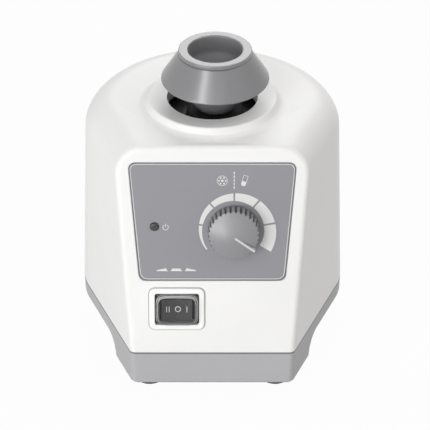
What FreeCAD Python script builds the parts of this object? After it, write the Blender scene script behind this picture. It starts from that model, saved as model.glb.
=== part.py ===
import FreeCAD, Part
import ast
import math
import os
import re
import Sketcher

# Vortex mixer for test tubes. Millimetres and degrees, +Z up, front towards -Y,
# Z = 0 under the feet. The cup turns about a vertical axis at X = 0, Y = axis_y.

SIZES = {
    # feet and base
    "foot_height": 6.2,
    "foot_radius": 8.0,
    "foot_taper": 0.7,
    "foot_side_in": 8.5,
    "foot_front_in": 14.8,
    "foot_rear_in": 19.3,
    "foot_post_height": 8.0,
    "base_height": 18.2,
    "base_draft": 0.4,
    "base_round": 0.8,
    "base_floor": 3.0,
    "grip_front_in": 22.3,
    "grip_rear_in": 38.3,
    "grip_rise": 10.6,
    "grip_round": 10.0,
    "grip_skin": 5.0,
    "tray_half": 40.0,
    "tray_taper": 6.8,
    "tray_front_in": 9.3,
    "tray_rear_in": 12.3,
    "ballast_thickness": 8.0,
    "ballast_side_gap": 3.0,
    "ballast_front": 40.0,
    "ballast_rear": 31.0,
    # plan outline of the housing where it meets the base
    "half_depth": 66.3,
    "front_half": 39.2,
    "widest_half": 64.4,
    "shoulder_radius": 39.0,
    "shoulder_y": 6.0,
    # housing
    "housing_height": 100.6,
    "top_inset": 1.7,
    "top_side_inset": 3.0,
    "front_tilt": 13.8,
    "wall": 2.6,
    "top_round": 14.5,
    "front_round": 3.0,
    "mouth_radius": 21.9,
    "lip_height": 4.7,
    "lip_dish": 0.7,
    "crest_radius": 30.9,
    "lip_foot_radius": 32.7,
    "lip_foot_rise": 1.8,
    "lip_flare": 3.3,
    "lip_edge": 1.1,
    "boss_radius": 5.0,
    "boss_front_height": 9.5,
    "boss_front_x": 19.0,
    "boss_front_in": 8.3,
    "boss_rear_height": 17.0,
    "boss_rear_angle": 38.0,
    "boss_rear_in": 6.4,
    "boss_cap": 2.0,
    # screws
    "screw_radius": 2.0,
    "screw_head_radius": 3.6,
    "screw_head_height": 2.4,
    "small_screw_radius": 1.4,
    "small_head_radius": 2.6,
    "small_head_height": 1.6,
    "screw_sink": 1.6,
    "screw_clear": 2.0,
    "overrun": 1.0,
    "thread_gap": 0.06,
    "fit_gap": 0.12,
    "run_gap": 0.05,
    "free_gap": 0.35,
    # front panel
    "panel_low": 36.6,
    "panel_high": 96.1,
    "panel_half_low": 35.1,
    "panel_half_high": 40.1,
    "panel_corner": 3.4,
    "panel_depth": 0.6,
    "panel_gap": 0.2,
    "panel_thickness": 0.45,
    # power lamp
    "lamp_x": -27.5,
    "lamp_s": 64.0,
    "lamp_radius": 2.1,
    "lamp_dome": 1.1,
    "lamp_body": 3.0,
    "lamp_spacer_wall": 0.6,
    # rocker switch
    "switch_x": -17.0,
    "switch_s": 22.5,
    "bezel_width": 26.5,
    "bezel_height": 21.0,
    "bezel_corner": 3.0,
    "bezel_rise": 1.1,
    "bezel_edge": 0.7,
    "bezel_sleeve": 1.1,
    "window_width": 21.4,
    "window_height": 16.0,
    "window_corner": 1.2,
    "window_depth": 1.6,
    "switch_flange": 1.0,
    "switch_width": 19.0,
    "switch_height": 13.4,
    "switch_depth": 15.0,
    "switch_wall": 1.3,
    "rocker_rise": 2.2,
    "rocker_dip": 1.0,
    "rocker_depth": 6.0,
    "rocker_lift": 1.0,
    "rocker_taper": 1.6,
    "rocker_side": 0.2,
    "rocker_edge": 0.5,
    "rocker_swing": 1.6,
    "rocker_pivot": 3.6,
    "rocker_pin_radius": 1.0,
    "rocker_pin_reach": 0.9,
    "boot_margin": 0.5,
    "boot_rise": 5.6,
    "boot_wall": 0.7,
    "boot_corner": 3.6,
    "boot_edge": 2.2,
    "blade_pitch": 6.0,
    "blade_thickness": 0.8,
    "blade_width": 4.8,
    "blade_length": 7.0,
    # speed control
    "knob_x": 10.1,
    "knob_s": 62.3,
    "knob_radius": 12.3,
    "knob_face_radius": 11.9,
    "knob_height": 10.6,
    "knob_lift": 0.6,
    "knob_dome": 2.8,
    "knob_hollow_radius": 8.0,
    "knob_hollow_depth": 3.6,
    "knob_skirt": 1.5,
    "knob_shoulder": 0.4,
    "knob_edge": 0.5,
    "knob_groove_stop": 1.6,
    "grip_count": 34,
    "grip_groove": 0.62,
    "pointer_angle": 125.0,
    "pointer_width": 1.0,
    "pointer_depth": 3.3,
    "pointer_inner": 0.8,
    "pointer_reach": 0.3,
    "pointer_proud": 0.1,
    "spindle_radius": 3.0,
    "spindle_rise": 7.0,
    "collar_radius": 4.4,
    "collar_rise": 3.4,
    "pot_radius": 8.2,
    "pot_nut_radius": 6.6,
    "pot_nut_height": 2.2,
    # control board
    "board_gap": 8.4,
    "board_thickness": 1.6,
    "board_half": 33.0,
    "board_foot": 44.0,
    "board_height": 40.0,
    "spacer_radius": 2.9,
    "spacer_x": 28.0,
    "spacer_inset": 4.0,
    "sink_width": 20.0,
    "sink_height": 9.0,
    "sink_length": 15.0,
    "sink_x": -17.0,
    "sink_s": 66.0,
    "sink_slot": 2.0,
    "sink_web": 2.5,
    "triac_width": 10.0,
    "triac_drop": 1.0,
    "triac_thickness": 4.4,
    "capacitor_width": 18.0,
    "capacitor_thickness": 8.5,
    "capacitor_height": 9.0,
    "capacitor_x": 17.0,
    "capacitor_s": 60.0,
    "capacitor_round": 0.8,
    "fuse_radius": 2.5,
    "fuse_length": 20.0,
    "fuse_x": 8.0,
    "fuse_s": 76.0,
    "fuse_lift": 1.5,
    "clip_width": 4.0,
    "clip_inset": 2.5,
    "clip_wall": 1.0,
    # mains inlet at the back
    "inlet_z": 46.0,
    "inlet_inset": 7.0,
    "inlet_rim": 4.0,
    "inlet_back": 3.0,
    "inlet_flange_half": 24.0,
    "inlet_flange_height": 25.0,
    "inlet_flange": 3.0,
    "inlet_body_half": 13.6,
    "inlet_body_height": 20.0,
    "inlet_depth": 19.0,
    "inlet_wall": 1.7,
    "inlet_screw_x": 19.5,
    "inlet_screw_bite": 4.0,
    "inlet_floor_wall": 4.0,
    "inlet_pin_x": 7.0,
    "inlet_pin_z": 2.0,
    "inlet_pin_width": 4.0,
    "inlet_pin_thickness": 2.0,
    "inlet_pin_tail": 6.0,
    "inlet_pin_reach": 10.5,
    # cup drive, from the mouth downwards
    "axis_y": -1.0,
    "orbit_radius": 2.0,
    "orbit_angle": -47.0,
    "head_drop": 1.5,
    "head_radius": 14.0,
    "head_crown": 7.5,
    "head_relief_radius": 7.6,
    "head_relief": 3.6,
    "neck_radius": 5.0,
    "neck_length": 13.5,
    "head_chamfer": 1.2,
    "neck_chamfer": 0.8,
    "head_skirt": 0.5,
    "bearing_outer": 11.0,
    "bearing_race_outer": 9.0,
    "bearing_race_inner": 6.4,
    "bearing_inner": 4.0,
    "bearing_width": 7.0,
    "ball_count": 8,
    "pin_shoulder": 2.0,
    "hub_radius": 13.0,
    "hub_height": 11.0,
    "hub_cap": 2.0,
    "pin_shoulder_wall": 1.6,
    "pin_screw_bite": 6.0,
    "grub_inset": 1.5,
    "weight_lift": 1.0,
    "weight_radius": 21.0,
    "weight_height": 8.0,
    "weight_sweep": 150.0,
    "shield_radius": 25.6,
    "shield_drop": 5.0,
    "shield_thickness": 1.8,
    "shield_foot": 2.0,
    "shield_step": 3.5,
    "shield_collar": 1.6,
    "shield_fall": 1.0,
    # cup
    "cup_rim_z": 156.0,
    "cup_rim_radius": 17.2,
    "cup_band": 2.2,
    "cup_step": 0.5,
    "cup_wide_radius": 26.25,
    "cup_wide_z": 140.3,
    "cup_edge": 1.6,
    "cup_under": 2.0,
    "cup_wide_round": 0.9,
    "cup_rim_round": 0.6,
    "cup_bore_radius": 13.0,
    "cup_bore_depth": 9.0,
    "cup_dish": 6.0,
    "cup_stem_gap": 1.6,
    "cup_stem_radius": 9.4,
    "cup_root_radius": 14.5,
    "cup_root_rise": 8.6,
    # motor
    "shaft_radius": 4.0,
    "bush_radius": 6.0,
    "bracket_gap": 1.0,
    "bracket_hub": 2.0,
    "bracket_hub_radius": 8.5,
    "bracket_bar": 4.0,
    "bracket_side_gap": 1.4,
    "bracket_leg": 5.5,
    "bracket_leg_half": 3.5,
    "stack_height": 28.0,
    "motor_room": 40.3,
    "coil_room": 18.4,
    "leg_width": 12.0,
    "stack_margin": 5.0,
    "bolt_left_in": 13.0,
    "bolt_right_in": 16.0,
    "coil_build": 6.8,
    "pole_slot_radius": 1.6,
    "pole_slot_x": 8.0,
    "pole_slot_out": 3.0,
    "coil_half": 13.5,
    "rotor_radius": 15.0,
    "air_gap": 0.35,
    "bobbin_wall": 1.2,
    "cheek_reach": 3.0,
    "coil_clear": 0.2,
    "coil_below_cheek": 0.6,
    "coil_round": 4.0,
    "fan_tip_gap": 0.5,
    "fan_height": 6.0,
    "fan_gap": 1.5,
    "fan_blades": 8,
    "fan_sheet": 1.2,
    "fan_hub_wall": 3.0,
    "fan_clear": 3.0,
    # carriage
    "plate_thickness": 3.0,
    "plate_margin": 7.5,
    "post_in": 10.0,
    "post_y": 25.0,
    "post_radius": 4.0,
    "post_seat": 4.0,
    "guide_wall": 2.0,
    "guide_flange": 1.2,
    "guide_flange_lip": 1.5,
    "spacer_wall": 1.6,
    "post_nut_radius": 7.0,
    "post_nut_height": 4.0,
    "buffer_radius": 8.0,
    "buffer_barrel": 1.0,
    # microswitch under the carriage plate
    "micro_length": 20.0,
    "micro_width": 6.4,
    "micro_y": 20.0,
    "micro_drop": 4.4,
    "tab_half": 1.6,
    "tab_length": 6.0,
    "tab_lift": 2.0,
    "tab_thickness": 0.6,
    "ear_thickness": 0.8,
    "lever_heel": 2.0,
    "lever_inset": 1.0,
    "lever_pin_radius": 0.5,
    "lever_tip_gap": 3.4,
    "lever_width": 4.0,
    "lever_thickness": 0.6,
}

doc = FreeCAD.newDocument("vortex_mixer")
sheet = doc.addObject("Spreadsheet::Sheet", "sizes")
for row, (alias, amount) in enumerate(SIZES.items(), 1):
    sheet.set(f"A{row}", alias)
    sheet.set(f"B{row}", str(amount))
    sheet.setAlias(f"B{row}", alias)
doc.recompute()


def walk(node):
    """Value of one node of a size expression, angles in degrees."""
    if isinstance(node, ast.Constant):
        return float(node.value)
    if isinstance(node, ast.Name):
        return float(sheet.get(node.id))
    if isinstance(node, ast.UnaryOp):
        return -walk(node.operand)
    if isinstance(node, ast.Call):
        return getattr(math, node.func.id)(math.radians(walk(node.args[0])))
    left = walk(node.left)
    right = walk(node.right)
    if isinstance(node.op, ast.Add):
        return left + right
    if isinstance(node.op, ast.Sub):
        return left - right
    if isinstance(node.op, ast.Mult):
        return left * right
    return left / right


def number(text):
    """Value of a size expression such as 'wall + fit_gap'."""
    return walk(ast.parse(text).body[0].value)


def cell(text):
    """The same expression with each size read from its cell of the sheet."""
    return re.sub(r"[a-z][a-z_]*", lambda m: "sizes." + m[0] if m[0] in SIZES else m[0], text)


def bind(item, bindings):
    for prop, text in bindings.items():
        item.setExpression(prop, cell(text))
    return item


def at(item, x, y, z):
    places = {"Placement.Base.x": x, "Placement.Base.y": y, "Placement.Base.z": z}
    return bind(item, places)


def cylinder(label, radius, low, high, x="0", y="axis_y"):
    """Upright cylinder between two heights."""
    item = doc.addObject("Part::Cylinder", label)
    bind(item, {"Radius": radius, "Height": f"({high}) - ({low})"})
    return at(item, x, y, low)


def cone(label, low_radius, high_radius, low, high, x="0", y="axis_y"):
    """Upright cone frustum between two heights."""
    item = doc.addObject("Part::Cone", label)
    bind(item, {"Radius1": low_radius, "Radius2": high_radius, "Height": f"({high}) - ({low})"})
    return at(item, x, y, low)


def block(label, x0, x1, y0, y1, z0, z1):
    """Box between opposite corners."""
    item = doc.addObject("Part::Box", label)
    spans = {"Length": f"({x1}) - ({x0})", "Width": f"({y1}) - ({y0})", "Height": f"({z1}) - ({z0})"}
    bind(item, spans)
    return at(item, x0, y0, z0)


def fuse(label, *items):
    item = doc.addObject("Part::MultiFuse", label)
    item.Shapes = list(items)
    return item


def cut(label, base, *tools):
    item = doc.addObject("Part::Cut", label)
    item.Base = base
    item.Tool = tools[0] if len(tools) == 1 else fuse(label + "_tools", *tools)
    return item


def common(label, first, second):
    item = doc.addObject("Part::MultiCommon", label)
    item.Shapes = [first, second]
    return item


def group(label, *items):
    """Separate solids that share one node."""
    item = doc.addObject("Part::Compound", label)
    item.Links = list(items)
    return item


def new_body(label):
    return doc.addObject("PartDesign::Body", label)


def new_sketch(body, plane, offset="0"):
    """Sketch on one of the body's own origin planes, moved along its normal."""
    sketch = body.newObject("Sketcher::SketchObject", body.Name + "_sketch")
    origin = [f for f in body.Origin.OriginFeatures if f.Role == plane][0]
    sketch.AttachmentSupport = [(origin, "")]
    sketch.MapMode = "FlatFace"
    sketch.setExpression("AttachmentOffset.Base.z", cell(offset))
    return sketch


def pin_point(sketch, geometry, end, x, y):
    """Ties one point of a sketch to a pair of size expressions."""
    for kind, axis, text in (("DistanceX", -2, x), ("DistanceY", -1, y)):
        amount = number(text)
        if abs(amount) < 1e-9:
            sketch.addConstraint(Sketcher.Constraint("PointOnObject", geometry, end, axis))
            continue
        index = sketch.addConstraint(Sketcher.Constraint(kind, -1, 1, geometry, end, amount))
        sketch.setExpression(f"Constraints[{index}]", cell(text))


def polygon(sketch, points):
    """Closed run of straight lines, every corner tied to its size expressions."""
    spots = [FreeCAD.Vector(number(x), number(y), 0) for x, y in points]
    count = len(spots)
    for i in range(count):
        sketch.addGeometry(Part.LineSegment(spots[i], spots[(i + 1) % count]), False)
    for i in range(count):
        sketch.addConstraint(Sketcher.Constraint("Coincident", i, 2, (i + 1) % count, 1))
    for i, (x, y) in enumerate(points):
        pin_point(sketch, i, 1, x, y)
    return sketch


def circle(sketch, x, y, radius):
    """Circle about a point, both tied to size expressions."""
    middle = FreeCAD.Vector(number(x), number(y), 0)
    sketch.addGeometry(Part.Circle(middle, FreeCAD.Vector(0, 0, 1), number(radius)), False)
    pin_point(sketch, 0, 3, x, y)
    index = sketch.addConstraint(Sketcher.Constraint("Radius", 0, number(radius)))
    sketch.setExpression(f"Constraints[{index}]", cell(radius))
    return sketch


CORNER_SHARE = 0.69


def plan(sketch, half, front, widest, radius, middle, back, corner="0"):
    """Plan outline: straight front, front corners sharp or rounded, straight sides that
    run out tangent into the shoulder arcs, and one arc round the back. Each side leans
    so that its outward normal n has n.(shoulder - corner) = corner - shoulder radius.
    A rounded corner stands CORNER_SHARE of its radius inside the sharp one."""
    front_n, middle_n, back_n = number(front), number(middle), number(back)
    small, large = number(corner), number(radius)
    near = FreeCAD.Vector(number(half) - CORNER_SHARE * small, front_n + small, 0)
    far = FreeCAD.Vector(number(widest) - large, middle_n, 0)
    span = far - near
    lean = math.atan2(span.y, span.x) - math.acos((small - large) / span.Length)
    normal = FreeCAD.Vector(math.cos(lean), math.sin(lean), 0)
    drop = middle_n - back_n
    back_radius = (large ** 2 - far.x ** 2 - drop ** 2) / (2 * (drop + large))
    rear = FreeCAD.Vector(0, back_n - back_radius, 0)
    join = math.atan2(far.y - rear.y, far.x)
    up = FreeCAD.Vector(0, 0, 1)

    def arc(middle_point, size, first, last):
        circle = Part.Circle(middle_point, up, size)
        return sketch.addGeometry(Part.ArcOfCircle(circle, first, last), False)

    def line(first, last):
        return sketch.addGeometry(Part.LineSegment(first, last), False)

    def mirrored(point):
        return FreeCAD.Vector(-point.x, point.y, 0)

    def size_of(geometry, text):
        index = sketch.addConstraint(Sketcher.Constraint("Radius", geometry, number(text)))
        sketch.setExpression(f"Constraints[{index}]", cell(text))

    foot = FreeCAD.Vector(near.x, front_n, 0)
    edge = near + normal * small
    meet = far + normal * large
    side = line(edge, meet)
    shoulder = arc(far, large, lean, join)
    round_back = arc(rear, back_radius, join, math.pi - join)
    other_shoulder = arc(mirrored(far), large, math.pi - join, math.pi - lean)
    other_side = line(mirrored(meet), mirrored(edge))
    straight = line(mirrored(foot), foot)
    middle_mark = sketch.addGeometry(Part.Point(FreeCAD.Vector(0, back_n, 0)), True)
    run = [side, shoulder, round_back, other_shoulder, other_side]
    for first, second in zip(run, run[1:]):
        sketch.addConstraint(Sketcher.Constraint("Tangent", first, 2, second, 1))
    if small:
        other_round = arc(mirrored(near), small, math.pi - lean, 1.5 * math.pi)
        round_front = arc(near, small, -math.pi / 2, lean)
        run = [other_side, other_round, straight, round_front, side]
        for first, second in zip(run, run[1:]):
            sketch.addConstraint(Sketcher.Constraint("Tangent", first, 2, second, 1))
        pin_point(sketch, round_front, 3, f"({half}) - {CORNER_SHARE} * ({corner})", f"({front}) + ({corner})")
        size_of(round_front, corner)
        sketch.addConstraint(Sketcher.Constraint("Symmetric", round_front, 3, other_round, 3, -2))
    else:
        for first, second in ((other_side, straight), (straight, side)):
            sketch.addConstraint(Sketcher.Constraint("Coincident", first, 2, second, 1))
        pin_point(sketch, straight, 2, half, front)
        sketch.addConstraint(Sketcher.Constraint("Symmetric", straight, 1, straight, 2, -2))
    pin_point(sketch, shoulder, 3, f"({widest}) - ({radius})", middle)
    size_of(shoulder, radius)
    sketch.addConstraint(Sketcher.Constraint("Symmetric", shoulder, 3, other_shoulder, 3, -2))
    sketch.addConstraint(Sketcher.Constraint("PointOnObject", round_back, 3, -2))
    sketch.addConstraint(Sketcher.Constraint("PointOnObject", middle_mark, 1, round_back))
    pin_point(sketch, middle_mark, 1, "0", back)
    return sketch


def pad(body, sketch, length, both_ways=False):
    feature = body.newObject("PartDesign::Pad", body.Name + "_pad")
    feature.Profile = sketch
    feature.Midplane = both_ways
    return bind(feature, {"Length": length})


def loft(body, low, *higher):
    feature = body.newObject("PartDesign::AdditiveLoft", body.Name + "_loft")
    feature.Profile = low
    feature.Sections = list(higher)
    feature.Ruled = True
    return feature


def soften(body, radius, chosen):
    """Rounds the edges of the body's last feature that the test picks out."""
    doc.recompute()
    tip = body.Tip
    names = [f"Edge{i}" for i, edge in enumerate(tip.Shape.Edges, 1) if chosen(edge)]
    feature = body.newObject("PartDesign::Fillet", body.Name + "_round")
    feature.Base = (tip, names)
    return bind(feature, {"Radius": radius})


def level(edge, height):
    """True for an edge that lies at one height."""
    return all(abs(v.Point.z - height) < 1e-4 for v in edge.Vertexes)


def upright(edge):
    """True for a straight edge along Z."""
    if len(edge.Vertexes) < 2:
        return False
    run = edge.Vertexes[1].Point - edge.Vertexes[0].Point
    return abs(run.x) < 1e-4 and abs(run.y) < 1e-4


def turned(label, profile, x="0", y="axis_y"):
    """Body of revolution about an upright axis from a (radius, height) profile."""
    body = new_body(label)
    sketch = polygon(new_sketch(body, "XZ_Plane"), profile)
    feature = body.newObject("PartDesign::Revolution", label + "_turn")
    feature.Profile = sketch
    feature.ReferenceAxis = (sketch, ["V_Axis"])
    feature.Angle = 360
    bind(body, {"Placement.Base.x": x, "Placement.Base.y": y})
    return body


def on_front(body):
    """Sets a body in the frame of the inclined front: X across, Y up the slope
    from the line where housing and base meet, Z outwards."""
    lean = FreeCAD.Rotation(FreeCAD.Vector(1, 0, 0), 90 - number("front_tilt"))
    corner = FreeCAD.Vector(0, number("-half_depth"), number(PARTING))
    body.Placement = FreeCAD.Placement(corner, lean)
    bind(body, {"Placement.Base.y": "-half_depth", "Placement.Base.z": PARTING})
    return body


def plate(label, points, low, high, corner=None):
    """Flat piece in the frame of the front between two depths, corners rounded."""
    body = new_body(label)
    pad(body, polygon(new_sketch(body, "XY_Plane", low), points), f"({high}) - ({low})")
    if corner:
        soften(body, corner, upright)
    return on_front(body)


def oblong(x, s, width, height):
    """Corners of a rectangle about a point of the front."""
    left, right = f"({x}) - ({width}) / 2", f"({x}) + ({width}) / 2"
    low, high = f"({s}) - ({height}) / 2", f"({s}) + ({height}) / 2"
    return [(left, low), (right, low), (right, high), (left, high)]


def rod(label, x, s, radius, low, high):
    """Round piece that stands on the front between two depths."""
    body = new_body(label)
    pad(body, circle(new_sketch(body, "XY_Plane", low), x, s, radius), f"({high}) - ({low})")
    return on_front(body)


def cross_rod(label, x, z, radius, middle, length):
    """Round piece along Y, half its length to each side of the middle."""
    body = new_body(label)
    sketch = circle(new_sketch(body, "XZ_Plane", f"-({middle})"), x, z, radius)
    pad(body, sketch, length, both_ways=True)
    return body


def along_y(label, radius, x, far, z, length):
    """Cylinder along Y that ends at the far Y."""
    item = doc.addObject("Part::Cylinder", label)
    bind(item, {"Radius": radius, "Height": length})
    item.Placement.Rotation = FreeCAD.Rotation(FreeCAD.Vector(1, 0, 0), 90)
    return at(item, x, far, z)


# Heights that several pieces share.
PARTING = "(foot_height + base_height)"
TOP = f"({PARTING} + housing_height)"
CREST = f"({TOP} + lip_height)"
FLOOR = "(foot_height + base_floor)"
BALLAST_TOP = f"({FLOOR} + ballast_thickness)"
HEAD_TOP = f"({TOP} - head_drop)"
BEARING_TOP = f"({HEAD_TOP} - head_crown)"
BEARING_LOW = f"({BEARING_TOP} - bearing_width)"
HUB_TOP = f"({BEARING_LOW} - pin_shoulder)"
HUB_LOW = f"({HUB_TOP} - hub_height)"
UPPER_HUB_TOP = f"({HUB_LOW} - bracket_gap)"
UPPER_BAR_TOP = f"({UPPER_HUB_TOP} - bracket_hub)"
UPPER_BAR_LOW = f"({UPPER_BAR_TOP} - bracket_bar)"
STACK_TOP = f"({UPPER_BAR_LOW} - bracket_leg)"
STACK_LOW = f"({STACK_TOP} - stack_height)"
LOWER_BAR_TOP = f"({STACK_LOW} - bracket_leg)"
LOWER_BAR_LOW = f"({LOWER_BAR_TOP} - bracket_bar)"
LOWER_HUB_LOW = f"({LOWER_BAR_LOW} - bracket_hub)"
FAN_TOP = f"({LOWER_HUB_LOW} - fan_gap)"
FAN_LOW = f"({FAN_TOP} - fan_height)"
PLATE_TOP = f"({FAN_LOW} - fan_clear)"
PLATE_LOW = f"({PLATE_TOP} - plate_thickness)"
SIDES = (("left", "-1"), ("right", "1"))
CORNERS = [(sx, sy) for sx in ("-1", "1") for sy in ("-1", "1")]

# Places that follow the plan outline.
FAR_X = "(widest_half - shoulder_radius)"
DROP = "(half_depth - shoulder_y)"
BACK_RADIUS = (f"((shoulder_radius * shoulder_radius - {FAR_X} * {FAR_X} - {DROP} * {DROP})"
               f" / (2 * (shoulder_radius - {DROP})))")
BOSS_REACH = f"({BACK_RADIUS} - boss_rear_in)"
BOSSES = (
    ("front", "boss_front_x", "(boss_front_in - half_depth)", f"({PARTING} + boss_front_height)"),
    ("rear", f"({BOSS_REACH} * cos(boss_rear_angle))",
     f"(half_depth - {BACK_RADIUS} + {BOSS_REACH} * sin(boss_rear_angle))", f"({PARTING} + boss_rear_height)"),
)
FOOT_X = "(front_half - foot_side_in)"
FEET = (("front", "(foot_front_in - half_depth)"), ("rear", "(half_depth - foot_rear_in)"))
INLET_FLOOR = "(half_depth - inlet_inset)"
TRAY_FRONT = "(half_depth - tray_front_in)"
TRAY_REAR = "(half_depth - tray_rear_in)"
POST_X = "(tray_half - post_in)"
BOLT_LEFT = f"({POST_X} - bolt_left_in)"
BOLT_RIGHT = f"({POST_X} - bolt_right_in)"
STACK_HALF = "(half_depth - motor_room)"
STACK_LEFT = f"({BOLT_LEFT} + stack_margin)"
STACK_RIGHT = "(widest_half - coil_room)"
BOLT_Y = f"({STACK_HALF} - stack_margin)"
WINDOW_RIGHT = f"({STACK_RIGHT} - leg_width)"
WINDOW_LEFT = f"({WINDOW_RIGHT} - 2 * (coil_build + coil_clear))"
FAN_RADIUS = f"({BOLT_Y} - fan_tip_gap)"
BRACKET_HALF = f"({BOLT_RIGHT} - screw_head_radius - bracket_side_gap)"

# Where the cup's own axis stands beside the motor's.
OFF_X = "(orbit_radius * cos(orbit_angle))"
OFF_Y = "(axis_y + orbit_radius * sin(orbit_angle))"


def shell(label, inset, low, high, rounding):
    """Housing form: lofted plan, inclined front, rounded top edge. The inset is
    the distance that the walls stand inside the outer form."""
    body = new_body(label)
    sketches = []
    for height, lean, side_lean in ((low, "0", "0"), (high, "top_inset", "top_side_inset")):
        less = f"({inset} + {lean})"
        side_less = f"({inset} + {side_lean})"
        sketch = new_sketch(body, "XY_Plane", height)
        plan(sketch, f"front_half - {less}", f"({inset}) - half_depth", f"widest_half - {side_less}",
             f"shoulder_radius - {less}", "shoulder_y", f"half_depth - {less}")
        sketches.append(sketch)
    loft(body, *sketches)
    slope = new_sketch(body, "YZ_Plane")
    start = f"({inset}) / cos(front_tilt) - half_depth"
    bottom, above, ahead = f"({low}) - overrun", f"({high}) + top_round", "-half_depth - front_half"
    polygon(slope, [(f"({start}) + ({bottom} - {PARTING}) * tan(front_tilt)", bottom),
                    (f"({start}) + ({above} - {PARTING}) * tan(front_tilt)", above),
                    (ahead, above), (ahead, bottom)])
    feature = body.newObject("PartDesign::Pocket", label + "_slope")
    feature.Profile = slope
    feature.Type = "ThroughAll"
    feature.Midplane = True
    height_n = number(high)

    def round_top(edge):
        run = edge.Vertexes[-1].Point - edge.Vertexes[0].Point
        return level(edge, height_n) and not (abs(run.y) < 1e-4 and edge.CenterOfMass.y < 0)

    soften(body, rounding, round_top)
    return body


# White upper housing.
outer = shell("housing_outer", "0", PARTING, TOP, "top_round")
tilt = math.radians(number("front_tilt"))


def on_slope(edge):
    """True for an edge of the inclined front other than its foot."""
    spots = edge.discretize(5)
    foot = number(PARTING)
    gap = [(p.y + number("half_depth")) * math.cos(tilt) - (p.z - foot) * math.sin(tilt) for p in spots]
    return max(abs(g) for g in gap) < 1e-3 and max(p.z for p in spots) > foot + 1


soften(outer, "front_round", on_slope)
cavity = shell("housing_cavity", "wall", f"{PARTING} - overrun", f"{TOP} - wall", "top_round - wall")
lip = turned("housing_lip", [
    ("mouth_radius - overrun", f"{TOP} - overrun"),
    ("lip_foot_radius + lip_flare", f"{TOP} - overrun"),
    ("lip_foot_radius + lip_flare", TOP),
    ("lip_foot_radius", f"{TOP} + lip_foot_rise"),
    ("crest_radius", CREST),
    ("mouth_radius - overrun", f"{CREST} - lip_dish"),
])


def ring_at(radius, height):
    """Test for the circular edge of a turned body at one radius and height."""
    radius_n, height_n = number(radius), number(height)

    def chosen(edge):
        spot = edge.Vertexes[0].Point
        return level(edge, height_n) and abs(math.hypot(spot.x, spot.y) - radius_n) < 1e-4

    return chosen


crest_ring = ring_at("crest_radius", CREST)
foot_ring = ring_at("lip_foot_radius", f"{TOP} + lip_foot_rise")
soften(lip, "lip_edge", lambda edge: crest_ring(edge) or foot_ring(edge))
mouth = cylinder("housing_mouth", "mouth_radius", f"{TOP} - wall - overrun", f"{CREST} + overrun")
bosses = []
pilots = []
for side, sign in SIDES:
    for end, x, y, boss_top in BOSSES:
        spot = (f"{sign} * {x}", y)
        bosses.append(cylinder(f"housing_boss_{end}_{side}", "boss_radius", PARTING, boss_top, *spot))
        pilots.append(cylinder(f"housing_pilot_{end}_{side}", "screw_radius + thread_gap", f"{PARTING} - overrun",
                               f"{boss_top} - boss_cap", *spot))
BACK_HALF = "(inlet_flange_half + fit_gap)"
BACK_RISE = "(inlet_flange_height / 2 + fit_gap)"
backing = block("inlet_backing", f"-{BACK_HALF} - inlet_rim", f"{BACK_HALF} + inlet_rim",
                f"{INLET_FLOOR} - inlet_back", "half_depth + overrun",
                f"inlet_z - {BACK_RISE} - inlet_rim", f"inlet_z + {BACK_RISE} + inlet_rim")
inner_backing = common("inlet_wall_pad", backing, outer)
recess = block("inlet_recess", f"-{BACK_HALF}", BACK_HALF, INLET_FLOOR, "half_depth + overrun",
               f"inlet_z - {BACK_RISE}", f"inlet_z + {BACK_RISE}")
BODY_HALF = "(inlet_body_half + fit_gap)"
BODY_RISE = "(inlet_body_height / 2 + fit_gap)"
inlet_hole = block("inlet_hole", f"-{BODY_HALF}", BODY_HALF,
                   f"{INLET_FLOOR} - inlet_back - wall", f"{INLET_FLOOR} + overrun",
                   f"inlet_z - {BODY_RISE}", f"inlet_z + {BODY_RISE}")
inlet_taps = []
for side, sign in SIDES:
    inlet_taps.append(along_y(f"inlet_tap_{side}", "small_screw_radius + thread_gap", f"{sign} * inlet_screw_x",
                              f"{INLET_FLOOR} + overrun", "inlet_z", "inlet_screw_bite + 2 * overrun"))
panel_points = [("-panel_half_low", "panel_low"), ("panel_half_low", "panel_low"),
                ("panel_half_high", "panel_high"), ("-panel_half_high", "panel_high")]
panel_recess = plate("panel_recess", panel_points, "-panel_depth", "overrun", "panel_corner")
sleeve_size = ("bezel_width - 2 * bezel_sleeve", "bezel_height - 2 * bezel_sleeve")
bezel_hole = plate("bezel_hole", oblong("switch_x", "switch_s", *sleeve_size), "-2 * wall", "overrun",
                   "bezel_corner - bezel_sleeve")
spindle_hole = rod("spindle_hole", "knob_x", "knob_s", "collar_radius + fit_gap", "-2 * wall", "overrun")
lamp_hole = rod("lamp_hole", "lamp_x", "lamp_s", "lamp_radius + fit_gap", "-2 * wall", "overrun")
hollow = cut("housing_hollow", outer, cavity)
solid_housing = fuse("housing_solid", hollow, lip, inner_backing, *bosses)
cut("upper_housing", solid_housing, mouth, recess, inlet_hole, *inlet_taps, *pilots,
    panel_recess, bezel_hole, spindle_hole, lamp_hole)

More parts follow.
